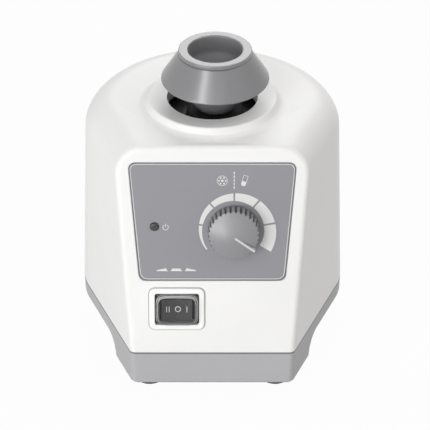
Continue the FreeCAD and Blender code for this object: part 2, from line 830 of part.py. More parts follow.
# Grey base with finger arches at both sides.
base_outer = new_body("base_outer")
base_plans = []
for height, less, corner in (("foot_height", "base_draft + base_round", "front_round"),
                             ("foot_height + base_round", "base_draft", "front_round + base_round / 2"),
                             (PARTING, "0", "front_round + base_draft / 2")):
    base_plans.append(plan(new_sketch(base_outer, "XY_Plane", height), f"front_half - ({less})",
                           f"({less}) / 2 - half_depth", f"widest_half - ({less})", f"shoulder_radius - ({less})",
                           "shoulder_y", f"half_depth - ({less})", corner))
loft(base_outer, *base_plans)
arches = []
for side, sign in SIDES:
    arch = new_body(f"grip_{side}")
    arch_sketch = new_sketch(arch, "YZ_Plane", f"{sign} * (tray_half + grip_skin)")
    front, rear = "grip_front_in - half_depth", "half_depth - grip_rear_in"
    polygon(arch_sketch, [(front, "foot_height - overrun"), (rear, "foot_height - overrun"),
                          (rear, "foot_height + grip_rise"), (front, "foot_height + grip_rise")])
    depth = pad(arch, arch_sketch, "widest_half")
    depth.Reversed = sign == "-1"
    soften(arch, "grip_round",
           lambda edge: level(edge, number("foot_height + grip_rise"))
           and abs(edge.Vertexes[0].Point.y - edge.Vertexes[1].Point.y) < 1e-4
           and abs(edge.Vertexes[0].Point.x - edge.Vertexes[1].Point.x) > 1)
    arches.append(arch)
tray = new_body("base_tray")
tray_sketch = polygon(new_sketch(tray, "XY_Plane", FLOOR), [
    ("tray_taper - tray_half", f"-{TRAY_FRONT}"), ("tray_half - tray_taper", f"-{TRAY_FRONT}"),
    ("tray_half", f"-{TRAY_FRONT} / 2"), ("tray_half", f"{TRAY_REAR} / 2"), ("tray_half / 2", TRAY_REAR),
    ("-tray_half / 2", TRAY_REAR), ("-tray_half", f"{TRAY_REAR} / 2"), ("-tray_half", f"-{TRAY_FRONT} / 2")])
pad(tray, tray_sketch, "base_height")
HEAD_SEAT = "(foot_height + screw_head_height + screw_sink)"
POST_TOP = f"({FLOOR} + foot_post_height)"
base_posts = []
base_holes = []
for side, sign in SIDES:
    for end, x, y, boss_top in BOSSES:
        spot = (f"{sign} * {x}", y)
        base_posts.append(cylinder(f"base_post_{end}_{side}", "boss_radius", f"{FLOOR} - overrun", PARTING, *spot))
        base_holes.append(cylinder(f"base_hole_{end}_{side}", "screw_radius + thread_gap", "foot_height - overrun",
                                   f"{PARTING} + overrun", *spot))
        base_holes.append(cylinder(f"base_seat_{end}_{side}", "screw_head_radius + fit_gap",
                                   "foot_height - overrun", HEAD_SEAT, *spot))
    for end, y in FEET:
        spot = (f"{sign} * {FOOT_X}", y)
        base_posts.append(cylinder(f"foot_post_{end}_{side}", "boss_radius", f"{FLOOR} - overrun", POST_TOP, *spot))
        base_holes.append(cylinder(f"foot_tap_{end}_{side}", "screw_radius + thread_gap", "foot_height - overrun",
                                   f"{POST_TOP} - boss_cap", *spot))
base_cast = cut("base_cast", base_outer, tray, *arches)
cut("base", fuse("base_posted", base_cast, *base_posts), *base_holes)

# Feet and the screws that come in from below.
feet = []
foot_screws = []
housing_screws = []
for side, sign in SIDES:
    for end, y in FEET:
        spot = (f"{sign} * {FOOT_X}", y)
        seat = "foot_height / 2"
        rubber = cone(f"foot_rubber_{end}_{side}", "foot_radius - foot_taper", "foot_radius", "0", "foot_height",
                      *spot)
        well = cylinder(f"foot_well_{end}_{side}", "screw_head_radius + fit_gap", "-overrun", seat, *spot)
        hole = cylinder(f"foot_hole_{end}_{side}", "screw_radius + thread_gap", "-overrun", "foot_height + overrun",
                        *spot)
        feet.append(cut(f"foot_{end}_{side}", rubber, well, hole))
        head = cylinder(f"foot_screw_head_{end}_{side}", "screw_head_radius", f"{seat} - screw_head_height", seat,
                        *spot)
        stem = cylinder(f"foot_screw_stem_{end}_{side}", "screw_radius", f"{seat} - overrun",
                        f"{POST_TOP} - boss_cap - overrun", *spot)
        foot_screws.append(fuse(f"foot_screw_{end}_{side}", head, stem))
    for end, x, y, boss_top in BOSSES:
        spot = (f"{sign} * {x}", y)
        head = cylinder(f"housing_screw_head_{end}_{side}", "screw_head_radius", f"{HEAD_SEAT} - screw_head_height",
                        HEAD_SEAT, *spot)
        stem = cylinder(f"housing_screw_stem_{end}_{side}", "screw_radius", f"{HEAD_SEAT} - overrun",
                        f"{boss_top} - boss_cap - overrun", *spot)
        housing_screws.append(fuse(f"housing_screw_{end}_{side}", head, stem))
group("rubber_feet", *feet)
group("foot_screws", *foot_screws)
group("housing_screws", *housing_screws)

# Ballast on the floor of the base, with the four guide posts of the carriage.
post_holes = []
posts = []
post_nuts = []
buffers = []
guides = []
guide_holes = []
NUT_LOW = f"({PLATE_TOP} + guide_flange)"
NUT_TOP = f"({NUT_LOW} + post_nut_height)"
POST_LOW = f"({BALLAST_TOP} - post_seat)"
BUFFER_WAIST = f"(({PLATE_LOW} + {BALLAST_TOP}) / 2)"
for i, (sx, sy) in enumerate(CORNERS):
    spot = (f"{sx} * {POST_X}", f"axis_y + {sy} * post_y")
    post_holes.append(cylinder(f"post_seat_{i}", "post_radius + thread_gap", POST_LOW,
                               f"{BALLAST_TOP} + overrun", *spot))
    posts.append(cylinder(f"post_{i}", "post_radius", POST_LOW, NUT_TOP, *spot))
    nut = cylinder(f"post_nut_blank_{i}", "post_nut_radius", NUT_LOW, NUT_TOP, *spot)
    nut_hole = cylinder(f"post_nut_hole_{i}", "post_radius + thread_gap", f"{NUT_LOW} - overrun",
                        f"{NUT_TOP} + overrun", *spot)
    post_nuts.append(cut(f"post_nut_{i}", nut, nut_hole))
    low_half = cone(f"buffer_low_{i}", "buffer_radius - buffer_barrel", "buffer_radius", BALLAST_TOP,
                    BUFFER_WAIST, *spot)
    high_half = cone(f"buffer_high_{i}", "buffer_radius", "buffer_radius - buffer_barrel", BUFFER_WAIST,
                     PLATE_LOW, *spot)
    bore = cylinder(f"buffer_bore_{i}", "post_radius + free_gap", f"{BALLAST_TOP} - overrun",
                    f"{PLATE_LOW} + overrun", *spot)
    buffers.append(cut(f"buffer_{i}", fuse(f"buffer_blank_{i}", low_half, high_half), bore))
    sleeve = cylinder(f"guide_sleeve_{i}", "post_radius + guide_wall", PLATE_LOW, NUT_LOW, *spot)
    flange = cylinder(f"guide_flange_{i}", "post_radius + guide_wall + guide_flange_lip", PLATE_TOP, NUT_LOW, *spot)
    guide_bore = cylinder(f"guide_bore_{i}", "post_radius + run_gap", f"{PLATE_LOW} - overrun",
                          f"{NUT_LOW} + overrun", *spot)
    guides.append(cut(f"guide_{i}", fuse(f"guide_blank_{i}", sleeve, flange), guide_bore))
    guide_holes.append(cylinder(f"guide_hole_{i}", "post_radius + guide_wall + thread_gap",
                                f"{PLATE_LOW} - overrun", f"{PLATE_TOP} + overrun", *spot))
ballast = block("ballast_blank", "ballast_side_gap - tray_half", "tray_half - ballast_side_gap",
                "-ballast_front", "ballast_rear", FLOOR, BALLAST_TOP)
cut("ballast_plate", ballast, *post_holes)
group("guide_posts", *posts)
group("post_nuts", *post_nuts)
group("rubber_buffers", *buffers)
group("guide_bushes", *guides)

# Carriage plate and the motor that stands on it.
bolts = []
spacers = []
stack_holes = []
plate_holes = []
hole_radius = "screw_radius + thread_gap"
for i, (x, sy) in enumerate([(x, sy) for x in (f"-{BOLT_LEFT}", BOLT_RIGHT) for sy in ("-1", "1")]):
    spot = (x, f"axis_y + {sy} * {BOLT_Y}")
    stack_holes.append(cylinder(f"stack_hole_{i}", hole_radius, f"{STACK_LOW} - overrun", f"{STACK_TOP} + overrun",
                                *spot))
    plate_holes.append(cylinder(f"plate_hole_{i}", hole_radius, f"{PLATE_LOW} - overrun", f"{PLATE_TOP} + overrun",
                                *spot))
    tube = cylinder(f"spacer_tube_{i}", "screw_radius + spacer_wall", PLATE_TOP, STACK_LOW, *spot)
    tube_bore = cylinder(f"spacer_bore_{i}", hole_radius, f"{PLATE_TOP} - overrun", f"{STACK_LOW} + overrun", *spot)
    spacers.append(cut(f"motor_spacer_{i}", tube, tube_bore))
    stem = cylinder(f"bolt_stem_{i}", "screw_radius", f"{PLATE_LOW} - overrun", f"{STACK_TOP} + overrun", *spot)
    head = cylinder(f"bolt_head_{i}", "screw_head_radius", STACK_TOP, f"{STACK_TOP} + screw_head_height", *spot)
    foot = cylinder(f"bolt_nut_{i}", "screw_head_radius", f"{PLATE_LOW} - screw_head_height", PLATE_LOW, *spot)
    bolts.append(fuse(f"motor_bolt_{i}", stem, head, foot))
PLATE_HALF = f"({POST_X} + plate_margin)"
plate_blank = block("plate_blank", f"-{PLATE_HALF}", PLATE_HALF, "axis_y - post_y - plate_margin",
                    "axis_y + post_y + plate_margin", PLATE_LOW, PLATE_TOP)
cut("carriage_plate", plate_blank, *guide_holes, *plate_holes)
group("motor_spacers", *spacers)
group("motor_bolts", *bolts)

tie_holes = []
ties = []
TIE_Y = f"({STACK_HALF} + rotor_radius + air_gap) / 2"
for side, sign in SIDES:
    spot = ("0", f"axis_y + {sign} * {TIE_Y}")
    tie_holes.append(cylinder(f"tie_hole_{side}", "small_screw_radius + thread_gap", f"{LOWER_BAR_LOW} - overrun",
                              f"{UPPER_BAR_TOP} + overrun", *spot))
    stem = cylinder(f"tie_stem_{side}", "small_screw_radius", f"{LOWER_BAR_LOW} - overrun",
                    f"{UPPER_BAR_TOP} + overrun", *spot)
    head = cylinder(f"tie_head_{side}", "small_head_radius", UPPER_BAR_TOP,
                    f"{UPPER_BAR_TOP} + small_head_height", *spot)
    nut = cylinder(f"tie_nut_{side}", "small_head_radius", f"{LOWER_BAR_LOW} - small_head_height",
                   LOWER_BAR_LOW, *spot)
    ties.append(fuse(f"bracket_bolt_{side}", stem, head, nut))
group("bracket_bolts", *ties)
STACK_FRONT = f"(axis_y - {STACK_HALF})"
STACK_BACK = f"(axis_y + {STACK_HALF})"
stack = block("stack_blank", f"-{STACK_LEFT}", STACK_RIGHT, STACK_FRONT, STACK_BACK, STACK_LOW, STACK_TOP)
stack_bore = cylinder("stack_bore", "rotor_radius + air_gap", f"{STACK_LOW} - overrun", f"{STACK_TOP} + overrun")
stack_window = block("stack_window", WINDOW_LEFT, WINDOW_RIGHT, "axis_y - coil_half - bobbin_wall",
                     "axis_y + coil_half + bobbin_wall", f"{STACK_LOW} - overrun", f"{STACK_TOP} + overrun")
pole_slots = []
for side, sign in SIDES:
    pole_slots.append(cylinder(f"pole_slot_{side}", "pole_slot_radius", f"{STACK_LOW} - overrun",
                               f"{STACK_TOP} + overrun", "pole_slot_x",
                               f"axis_y + {sign} * (rotor_radius + pole_slot_out)"))
cut("stator_stack", stack, stack_bore, stack_window, *pole_slots, *stack_holes, *tie_holes)
LEG_IN = f"({WINDOW_RIGHT} - fit_gap)"
LEG_OUT = f"({STACK_RIGHT} + fit_gap)"
BOB_IN = f"({LEG_IN} - bobbin_wall)"
BOB_OUT = f"({LEG_OUT} + bobbin_wall)"
BOB_LOW = f"({STACK_LOW} - fit_gap - bobbin_wall)"
BOB_HIGH = f"({STACK_TOP} + fit_gap + bobbin_wall)"
tube = block("bobbin_tube", BOB_IN, BOB_OUT, "axis_y - coil_half", "axis_y + coil_half", BOB_LOW, BOB_HIGH)
cheeks = []
for side, sign in SIDES:
    inner = f"axis_y + {sign} * coil_half - bobbin_wall / 2"
    cheeks.append(block(f"bobbin_cheek_{side}", f"{BOB_IN} - coil_build", f"{BOB_OUT} + coil_build",
                        inner, f"{inner} + bobbin_wall", f"{BOB_LOW} - coil_build", f"{BOB_HIGH} + coil_build"))
PAST_CHEEKS = ("axis_y - coil_half - cheek_reach", "axis_y + coil_half + cheek_reach")
leg_hole = block("bobbin_hole", LEG_IN, LEG_OUT, *PAST_CHEEKS, f"{STACK_LOW} - fit_gap", f"{STACK_TOP} + fit_gap")
cut("coil_bobbin", fuse("bobbin_blank", tube, *cheeks), leg_hole)
WOUND = f"(coil_build - coil_below_cheek)"
wound = new_body("winding_blank")
wound_sketch = polygon(new_sketch(wound, "XZ_Plane", "-axis_y - coil_half + bobbin_wall / 2"), [
    (f"{BOB_IN} - {WOUND}", f"{BOB_LOW} - {WOUND}"), (f"{BOB_OUT} + {WOUND}", f"{BOB_LOW} - {WOUND}"),
    (f"{BOB_OUT} + {WOUND}", f"{BOB_HIGH} + {WOUND}"), (f"{BOB_IN} - {WOUND}", f"{BOB_HIGH} + {WOUND}")])
pad(wound, wound_sketch, "2 * coil_half - bobbin_wall")


def lengthwise(edge):
    """True for an edge of the winding that runs from cheek to cheek."""
    ends = [v.Point for v in edge.Vertexes]
    return len(ends) == 2 and abs(ends[0].y - ends[1].y) > number("coil_half")


soften(wound, "coil_round", lengthwise)
core = block("winding_core", BOB_IN, BOB_OUT, *PAST_CHEEKS, BOB_LOW, BOB_HIGH)
cut("coil_winding", wound, core)

for name, hub_low, hub_high, bar_low, bar_high, leg_low, leg_high in (
        ("upper_bracket", UPPER_BAR_LOW, UPPER_HUB_TOP, UPPER_BAR_LOW, UPPER_BAR_TOP, STACK_TOP, UPPER_BAR_LOW),
        ("lower_bracket", LOWER_HUB_LOW, LOWER_BAR_TOP, LOWER_BAR_LOW, LOWER_BAR_TOP, LOWER_BAR_TOP, STACK_LOW)):
    hub = cylinder(f"{name}_hub", "bracket_hub_radius", hub_low, hub_high)
    bar = block(f"{name}_bar", f"-{BRACKET_HALF}", BRACKET_HALF, STACK_FRONT, STACK_BACK, bar_low, bar_high)
    legs = []
    for side, sign in SIDES:
        middle = f"axis_y + {sign} * {TIE_Y}"
        legs.append(block(f"{name}_leg_{side}", f"-{BRACKET_HALF}", BRACKET_HALF, f"{middle} - bracket_leg_half",
                          f"{middle} + bracket_leg_half", leg_low, leg_high))
    eye = cylinder(f"{name}_eye", "bush_radius + thread_gap", f"{hub_low} - overrun", f"{hub_high} + overrun")
    cut(name, fuse(f"{name}_blank", hub, bar, *legs), eye, *tie_holes)
bushes = []
for name, low, high in (("upper", UPPER_BAR_LOW, UPPER_HUB_TOP), ("lower", LOWER_HUB_LOW, LOWER_BAR_TOP)):
    ring = cylinder(f"bush_ring_{name}", "bush_radius", low, high)
    eye = cylinder(f"bush_eye_{name}", "shaft_radius + run_gap", f"{low} - overrun", f"{high} + overrun")
    bushes.append(cut(f"bush_{name}", ring, eye))
group("shaft_bushes", *bushes)

# Rotor with its shaft, fan and eccentric.
SHAFT_TOP = f"({HUB_TOP} - hub_cap)"
ON_SHAFT = "shaft_radius + thread_gap / 2"
cylinder("motor_shaft", "shaft_radius", f"{FAN_LOW} - overrun", SHAFT_TOP)
core = cylinder("rotor_blank", "rotor_radius", STACK_LOW, STACK_TOP)
core_bore = cylinder("rotor_bore", ON_SHAFT, f"{STACK_LOW} - overrun", f"{STACK_TOP} + overrun")
cut("rotor_core", core, core_bore)
FAN_HUB = "(shaft_radius + fan_hub_wall)"
fan_disc = cylinder("fan_disc", FAN_RADIUS, f"{FAN_TOP} - fan_sheet", FAN_TOP)
fan_hub = cylinder("fan_hub", FAN_HUB, FAN_LOW, FAN_TOP)
blades = []
for i in range(int(number("fan_blades"))):
    turn = 360.0 * i / int(number("fan_blades"))
    blade = doc.addObject("Part::Box", f"fan_blade_{i}")
    bind(blade, {"Length": f"{FAN_RADIUS} - {FAN_HUB} + overrun - run_gap", "Width": "fan_sheet",
                 "Height": "fan_height"})
    blade.Placement.Rotation = FreeCAD.Rotation(FreeCAD.Vector(0, 0, 1), turn)
    root = f"({FAN_HUB} - overrun)"
    blades.append(at(blade, f"{root} * cos({turn})", f"axis_y + {root} * sin({turn})", FAN_LOW))
fan_bore = cylinder("fan_bore", ON_SHAFT, f"{FAN_LOW} - overrun", f"{FAN_TOP} + overrun")
cut("cooling_fan", fuse("fan_blank", fan_disc, fan_hub, *blades), fan_bore)
hub = cylinder("hub_blank", "hub_radius", HUB_LOW, HUB_TOP)
hub_shoulder = cylinder("hub_shoulder", "bearing_inner + pin_shoulder_wall", f"{HUB_TOP} - overrun", BEARING_LOW,
                        OFF_X, OFF_Y)
hub_pin = cylinder("hub_pin", "bearing_inner", f"{HUB_TOP} - overrun", BEARING_TOP, OFF_X, OFF_Y)
hub_bore = cylinder("hub_bore", ON_SHAFT, f"{HUB_LOW} - overrun", SHAFT_TOP)
SCREW_Z = f"({HUB_LOW} + hub_height / 2)"


def along_x(label, radius, start, length):
    """Cylinder along X at the height of the hub's set screw."""
    item = doc.addObject("Part::Cylinder", label)
    bind(item, {"Radius": radius, "Height": length})
    item.Placement.Rotation = FreeCAD.Rotation(FreeCAD.Vector(0, 1, 0), 90)
    return at(item, start, "axis_y", SCREW_Z)


hub_tap = along_x("hub_tap", "screw_radius + thread_gap", "0", "hub_radius + overrun")
pin_tap = cylinder("hub_pin_tap", "small_screw_radius + thread_gap", f"{BEARING_TOP} - pin_screw_bite - overrun",
                   f"{BEARING_TOP} + overrun", OFF_X, OFF_Y)
cut("eccentric_hub", fuse("hub_turned", hub, hub_shoulder, hub_pin), hub_bore, hub_tap, pin_tap)
along_x("hub_set_screw", "screw_radius", "shaft_radius", "hub_radius - shaft_radius - grub_inset")
weight = doc.addObject("Part::Cylinder", "weight_blank")
bind(weight, {"Radius": "weight_radius", "Height": "weight_height", "Angle": "weight_sweep"})
weight_turn = number("orbit_angle + 180 - weight_sweep / 2")
weight.Placement.Rotation = FreeCAD.Rotation(FreeCAD.Vector(0, 0, 1), weight_turn)
at(weight, "0", "axis_y", f"{HUB_LOW} + weight_lift")
weight_eye = cylinder("weight_eye", "hub_radius + thread_gap / 2", HUB_LOW, HUB_TOP)
cut("counterweight", weight, weight_eye)
inner_ring = cylinder("inner_ring_blank", "bearing_race_inner", BEARING_LOW, BEARING_TOP, OFF_X, OFF_Y)
inner_eye = cylinder("inner_ring_eye", "bearing_inner + thread_gap / 4", f"{BEARING_LOW} - overrun",
                     f"{BEARING_TOP} + overrun", OFF_X, OFF_Y)
cut("bearing_inner_ring", inner_ring, inner_eye)
pin_head = cylinder("bearing_screw_head", "bearing_race_inner", BEARING_TOP, f"{BEARING_TOP} + small_head_height",
                    OFF_X, OFF_Y)
pin_stem = cylinder("bearing_screw_stem", "small_screw_radius", f"{BEARING_TOP} - pin_screw_bite",
                    f"{BEARING_TOP} + overrun", OFF_X, OFF_Y)
fuse("bearing_screw", pin_head, pin_stem)

# Drive head on the ball bearing, with the shield that covers the mouth from below.
outer_ring = cylinder("outer_ring_blank", "bearing_outer", BEARING_LOW, BEARING_TOP, OFF_X, OFF_Y)
outer_eye = cylinder("outer_ring_eye", "bearing_race_outer", f"{BEARING_LOW} - overrun",
                     f"{BEARING_TOP} + overrun", OFF_X, OFF_Y)
cut("bearing_outer_ring", outer_ring, outer_eye)
balls = []
for i in range(int(number("ball_count"))):
    ball = doc.addObject("Part::Sphere", f"ball_{i}")
    bind(ball, {"Radius": "(bearing_race_outer - bearing_race_inner) / 2 - run_gap"})
    share = 360.0 * i / int(number("ball_count"))
    pitch = "(bearing_race_outer + bearing_race_inner) / 2"
    balls.append(at(ball, f"{OFF_X} + {pitch} * cos({share})", f"{OFF_Y} + {pitch} * sin({share})",
                    f"{BEARING_LOW} + bearing_width / 2"))
group("bearing_balls", *balls)
turned("drive_head", [
    ("bearing_outer + thread_gap / 4", f"{BEARING_LOW} - head_skirt"),
    ("head_radius", f"{BEARING_LOW} - head_skirt"),
    ("head_radius", f"{HEAD_TOP} - head_chamfer"),
    ("head_radius - head_chamfer", HEAD_TOP),
    ("neck_radius", HEAD_TOP),
    ("neck_radius", f"{HEAD_TOP} + neck_length - neck_chamfer"),
    ("neck_radius - neck_chamfer", f"{HEAD_TOP} + neck_length"),
    ("0", f"{HEAD_TOP} + neck_length"),
    ("0", f"{BEARING_TOP} + head_relief"),
    ("head_relief_radius", f"{BEARING_TOP} + head_relief"),
    ("head_relief_radius", BEARING_TOP),
    ("bearing_outer + thread_gap / 4", BEARING_TOP),
], OFF_X, OFF_Y)
SHIELD_TOP = f"({TOP} - wall - shield_drop / 2)"
turned("splash_shield", [
    ("head_radius + thread_gap / 2", f"{SHIELD_TOP} - shield_drop"),
    ("head_radius + shield_foot", f"{SHIELD_TOP} - shield_drop"),
    ("head_radius + shield_step", f"{SHIELD_TOP} - shield_drop / 2"),
    ("shield_radius", f"{SHIELD_TOP} - shield_drop / 2 - shield_fall"),
    ("shield_radius", f"{SHIELD_TOP} - shield_drop / 2 - shield_fall + shield_thickness"),
    ("head_radius + shield_step", f"{SHIELD_TOP} - shield_drop / 2 + shield_thickness"),
    ("head_radius + shield_collar", SHIELD_TOP),
    ("head_radius + thread_gap / 2", SHIELD_TOP),
], OFF_X, OFF_Y)

# Rubber cup that pulls off the neck of the drive head.
BORE_LOW = "(cup_rim_z - cup_bore_depth)"
cup_body = turned("cup_blank", [
    ("neck_radius + thread_gap / 2", f"{HEAD_TOP} + cup_stem_gap"),
    ("cup_stem_radius", f"{HEAD_TOP} + cup_stem_gap"),
    ("cup_root_radius", f"{HEAD_TOP} + cup_stem_gap + cup_root_rise"),
    ("cup_wide_radius - cup_under", "cup_wide_z - cup_edge"),
    ("cup_wide_radius", "cup_wide_z"),
    ("cup_rim_radius + cup_step", "cup_rim_z - cup_band"),
    ("cup_rim_radius", "cup_rim_z - cup_band + cup_step / 2"),
    ("cup_rim_radius", "cup_rim_z"),
    ("cup_bore_radius", "cup_rim_z"),
    ("cup_bore_radius", BORE_LOW),
    ("cup_bore_radius * 0.75", f"{BORE_LOW} - cup_dish * 0.6"),
    ("cup_bore_radius * 0.4", f"{BORE_LOW} - cup_dish * 0.92"),
    ("0", f"{BORE_LOW} - cup_dish"),
    ("0", f"{HEAD_TOP} + neck_length"),
    ("neck_radius + thread_gap / 2", f"{HEAD_TOP} + neck_length"),
], OFF_X, OFF_Y)
cup_body.Label = "cup"
wide_ring = ring_at("cup_wide_radius", "cup_wide_z")
low_ring = ring_at("cup_wide_radius - cup_under", "cup_wide_z - cup_edge")
stem_ring = ring_at("cup_stem_radius", f"{HEAD_TOP} + cup_stem_gap")
rim_ring = ring_at("cup_rim_radius", "cup_rim_z")
soften(cup_body, "cup_wide_round", lambda e: wide_ring(e) or low_ring(e))
soften(cup_body, "cup_rim_round", lambda e: stem_ring(e) or rim_ring(e))

# Control panel on the inclined front.
PANEL_TOP = "(panel_thickness - panel_depth)"
overlay = plate("overlay_blank", [
    ("panel_gap - panel_half_low", "panel_low + panel_gap"), ("panel_half_low - panel_gap", "panel_low + panel_gap"),
    ("panel_half_high - panel_gap", "panel_high - panel_gap"),
    ("panel_gap - panel_half_high", "panel_high - panel_gap"),
], "-panel_depth", PANEL_TOP, "panel_corner - panel_gap")
cut("front_panel", overlay, spindle_hole, lamp_hole)
dome = rod("lamp_lens", "lamp_x", "lamp_s", "lamp_radius", "-wall - lamp_body", f"{PANEL_TOP} + lamp_dome")
soften(dome, "lamp_dome * 0.8", lambda e: level(e, number(f"{PANEL_TOP} + lamp_dome")))
BOARD_TOP = "(-wall - board_gap)"
BOARD_LOW = "(-wall - board_gap - board_thickness)"
rod("lamp_spacer", "lamp_x", "lamp_s", "lamp_radius + lamp_spacer_wall", BOARD_TOP, "-wall - lamp_body")

# Rocker switch with its bezel and clear boot.
SWITCH = ("switch_x", "switch_s")
bezel = plate("bezel_flange", oblong(*SWITCH, "bezel_width", "bezel_height"), "0", "bezel_rise", "bezel_corner")
soften(bezel, "bezel_edge", lambda e: level(e, number("bezel_rise")))
sleeve = plate("bezel_sleeve_body", oblong(*SWITCH, "bezel_width - 2 * bezel_sleeve - 2 * fit_gap",
                                           "bezel_height - 2 * bezel_sleeve - 2 * fit_gap"),
               "-wall - overrun", "bezel_rise / 2", "bezel_corner - bezel_sleeve - fit_gap")
window = plate("bezel_window", oblong(*SWITCH, "window_width", "window_height"),
               "-window_depth", "bezel_rise + overrun", "window_corner")
throat = plate("bezel_throat", oblong(*SWITCH, "switch_width + 2 * fit_gap", "switch_height + 2 * fit_gap"),
               "-2 * wall", "0")
cut("switch_bezel", fuse("bezel_blank", bezel, sleeve), window, throat)
FLANGE_TOP = "(switch_flange - window_depth)"
CASE_LOW = "(-window_depth - switch_depth)"
flange = plate("switch_flange_body", oblong(*SWITCH, "window_width - 2 * fit_gap", "window_height - 2 * fit_gap"),
               "-window_depth", FLANGE_TOP, "window_corner - fit_gap")
case = plate("switch_case", oblong(*SWITCH, "switch_width", "switch_height"), CASE_LOW,
             "switch_flange / 2 - window_depth")
ROCKER_WIDTH = "(switch_width - 2 * switch_wall)"
ROCKER_HEIGHT = "(switch_height - 2 * switch_wall)"
well = plate("switch_well", oblong(*SWITCH, ROCKER_WIDTH, ROCKER_HEIGHT),
             "-window_depth - rocker_depth - rocker_swing", "bezel_rise + overrun")
pivot_hole = on_front(cross_rod("switch_pivot_hole", "switch_x", "-rocker_pivot", "rocker_pin_radius + run_gap",
                                "switch_s", "switch_height + 2 * overrun"))
cut("switch_body", fuse("switch_blank", flange, case), well, pivot_hole)
blades = []
for i, step in enumerate(("-1", "0", "1")):
    blades.append(plate(f"switch_blade_{i}", oblong(f"switch_x + {step} * blade_pitch", "switch_s",
                                                    "blade_thickness", "blade_width"),
                        f"{CASE_LOW} - blade_length", CASE_LOW))
group("switch_terminals", *blades)
BOOT_W = "(window_width - 2 * boot_margin)"
BOOT_H = "(window_height - 2 * boot_margin)"
BOOT_TOP = f"({FLANGE_TOP} + boot_rise)"
boot_out = plate("boot_outer", oblong(*SWITCH, BOOT_W, BOOT_H), FLANGE_TOP, BOOT_TOP, "boot_corner")
soften(boot_out, "boot_edge", lambda e: level(e, number(BOOT_TOP)))
boot_in = plate("boot_inner", oblong(*SWITCH, f"{BOOT_W} - 2 * boot_wall", f"{BOOT_H} - 2 * boot_wall"),
                f"{FLANGE_TOP} - overrun", f"{BOOT_TOP} - boot_wall", "boot_corner - boot_wall")
soften(boot_in, "boot_edge - boot_wall", lambda e: level(e, number(f"{BOOT_TOP} - boot_wall")))
cut("switch_boot", boot_out, boot_in)
rocker = new_body("rocker_blank")
R_W = f"({ROCKER_WIDTH} / 2 - free_gap)"
rocker_sketch = new_sketch(rocker, "XZ_Plane", f"-switch_s - {ROCKER_HEIGHT} / 2 + free_gap")
ROCK_END = "(rocker_rise - window_depth + switch_flange)"
ROCK_LOW = "(rocker_lift - window_depth - rocker_depth)"
polygon(rocker_sketch, [
    (f"switch_x - {R_W} + rocker_taper", ROCK_LOW), (f"switch_x + {R_W} - rocker_taper", ROCK_LOW),
    (f"switch_x + {R_W} - rocker_side", FLANGE_TOP), (f"switch_x + {R_W} - rocker_edge", ROCK_END),
    (f"switch_x + {R_W} * 0.5", f"{ROCK_END} - rocker_dip * 0.75"), ("switch_x", f"{ROCK_END} - rocker_dip"),
    (f"switch_x - {R_W} * 0.5", f"{ROCK_END} - rocker_dip * 0.75"),
    (f"switch_x - {R_W} + rocker_edge", ROCK_END), (f"switch_x - {R_W} + rocker_side", FLANGE_TOP)])
pad(rocker, rocker_sketch, f"{ROCKER_HEIGHT} - 2 * free_gap")
rocker_pin = cross_rod("rocker_pin", "switch_x", "-rocker_pivot", "rocker_pin_radius", "switch_s",
                       f"{ROCKER_HEIGHT} + 2 * rocker_pin_reach")
fuse("switch_rocker", on_front(rocker), on_front(rocker_pin))

# Speed control: potentiometer behind the wall, knob in front.
KNOB = ("knob_x", "knob_s")
POT_FLOOR = "(-wall - board_gap / 2)"
KNOB_LOW = f"({PANEL_TOP} + knob_lift)"
KNOB_TOP = f"({KNOB_LOW} + knob_height)"
pot_case = rod("pot_case", *KNOB, "pot_radius", BOARD_TOP, "-wall")
pot_collar = rod("pot_collar", *KNOB, "collar_radius", "-wall - overrun", "collar_rise")
pot_eye = rod("pot_eye", *KNOB, "spindle_radius + run_gap", POT_FLOOR, "spindle_rise")
cut("potentiometer_body", fuse("pot_blank", pot_case, pot_collar), pot_eye)
nut_blank = rod("pot_nut_blank", *KNOB, "pot_nut_radius", PANEL_TOP, f"{PANEL_TOP} + pot_nut_height")
nut_eye = rod("pot_nut_eye", *KNOB, "collar_radius + thread_gap", f"{PANEL_TOP} - overrun", "spindle_rise")
cut("potentiometer_nut", nut_blank, nut_eye)
rod("potentiometer_spindle", *KNOB, "spindle_radius", f"{POT_FLOOR} + free_gap", "spindle_rise")
knob = new_body("knob_blank")
knob_sketch = polygon(new_sketch(knob, "XZ_Plane"), [
    ("knob_hollow_radius", KNOB_LOW), ("knob_radius", KNOB_LOW), ("knob_radius", f"{KNOB_LOW} + knob_skirt"),
    ("knob_face_radius", f"{KNOB_TOP} - knob_dome - knob_shoulder"),
    ("knob_face_radius - knob_edge", f"{KNOB_TOP} - knob_dome"),
    ("knob_face_radius * 0.55", f"{KNOB_TOP} - knob_dome * 0.3"), ("0", KNOB_TOP),
    ("0", "spindle_rise"), ("spindle_radius + thread_gap / 4", "spindle_rise"),
    ("spindle_radius + thread_gap / 4", f"{KNOB_LOW} + knob_hollow_depth"),
    ("knob_hollow_radius", f"{KNOB_LOW} + knob_hollow_depth")])
knob_turn = knob.newObject("PartDesign::Revolution", "knob_turn")
knob_turn.Profile = knob_sketch
knob_turn.ReferenceAxis = (knob_sketch, ["V_Axis"])
knob_turn.Angle = 360
groove_sketch = circle(new_sketch(knob, "XY_Plane", f"{KNOB_TOP} + overrun"),
                       "(knob_radius + knob_face_radius) / 2 + grip_groove * 0.45", "0", "grip_groove")
groove = knob.newObject("PartDesign::Pocket", "knob_groove")
groove.Profile = groove_sketch
bind(groove, {"Length": "knob_height + overrun - knob_groove_stop"})
grooves = knob.newObject("PartDesign::PolarPattern", "knob_grooves")
grooves.Originals = [groove]
grooves.Axis = (groove_sketch, ["N_Axis"])
grooves.Angle = 360
bind(grooves, {"Occurrences": "grip_count"})
knob.Tip = grooves


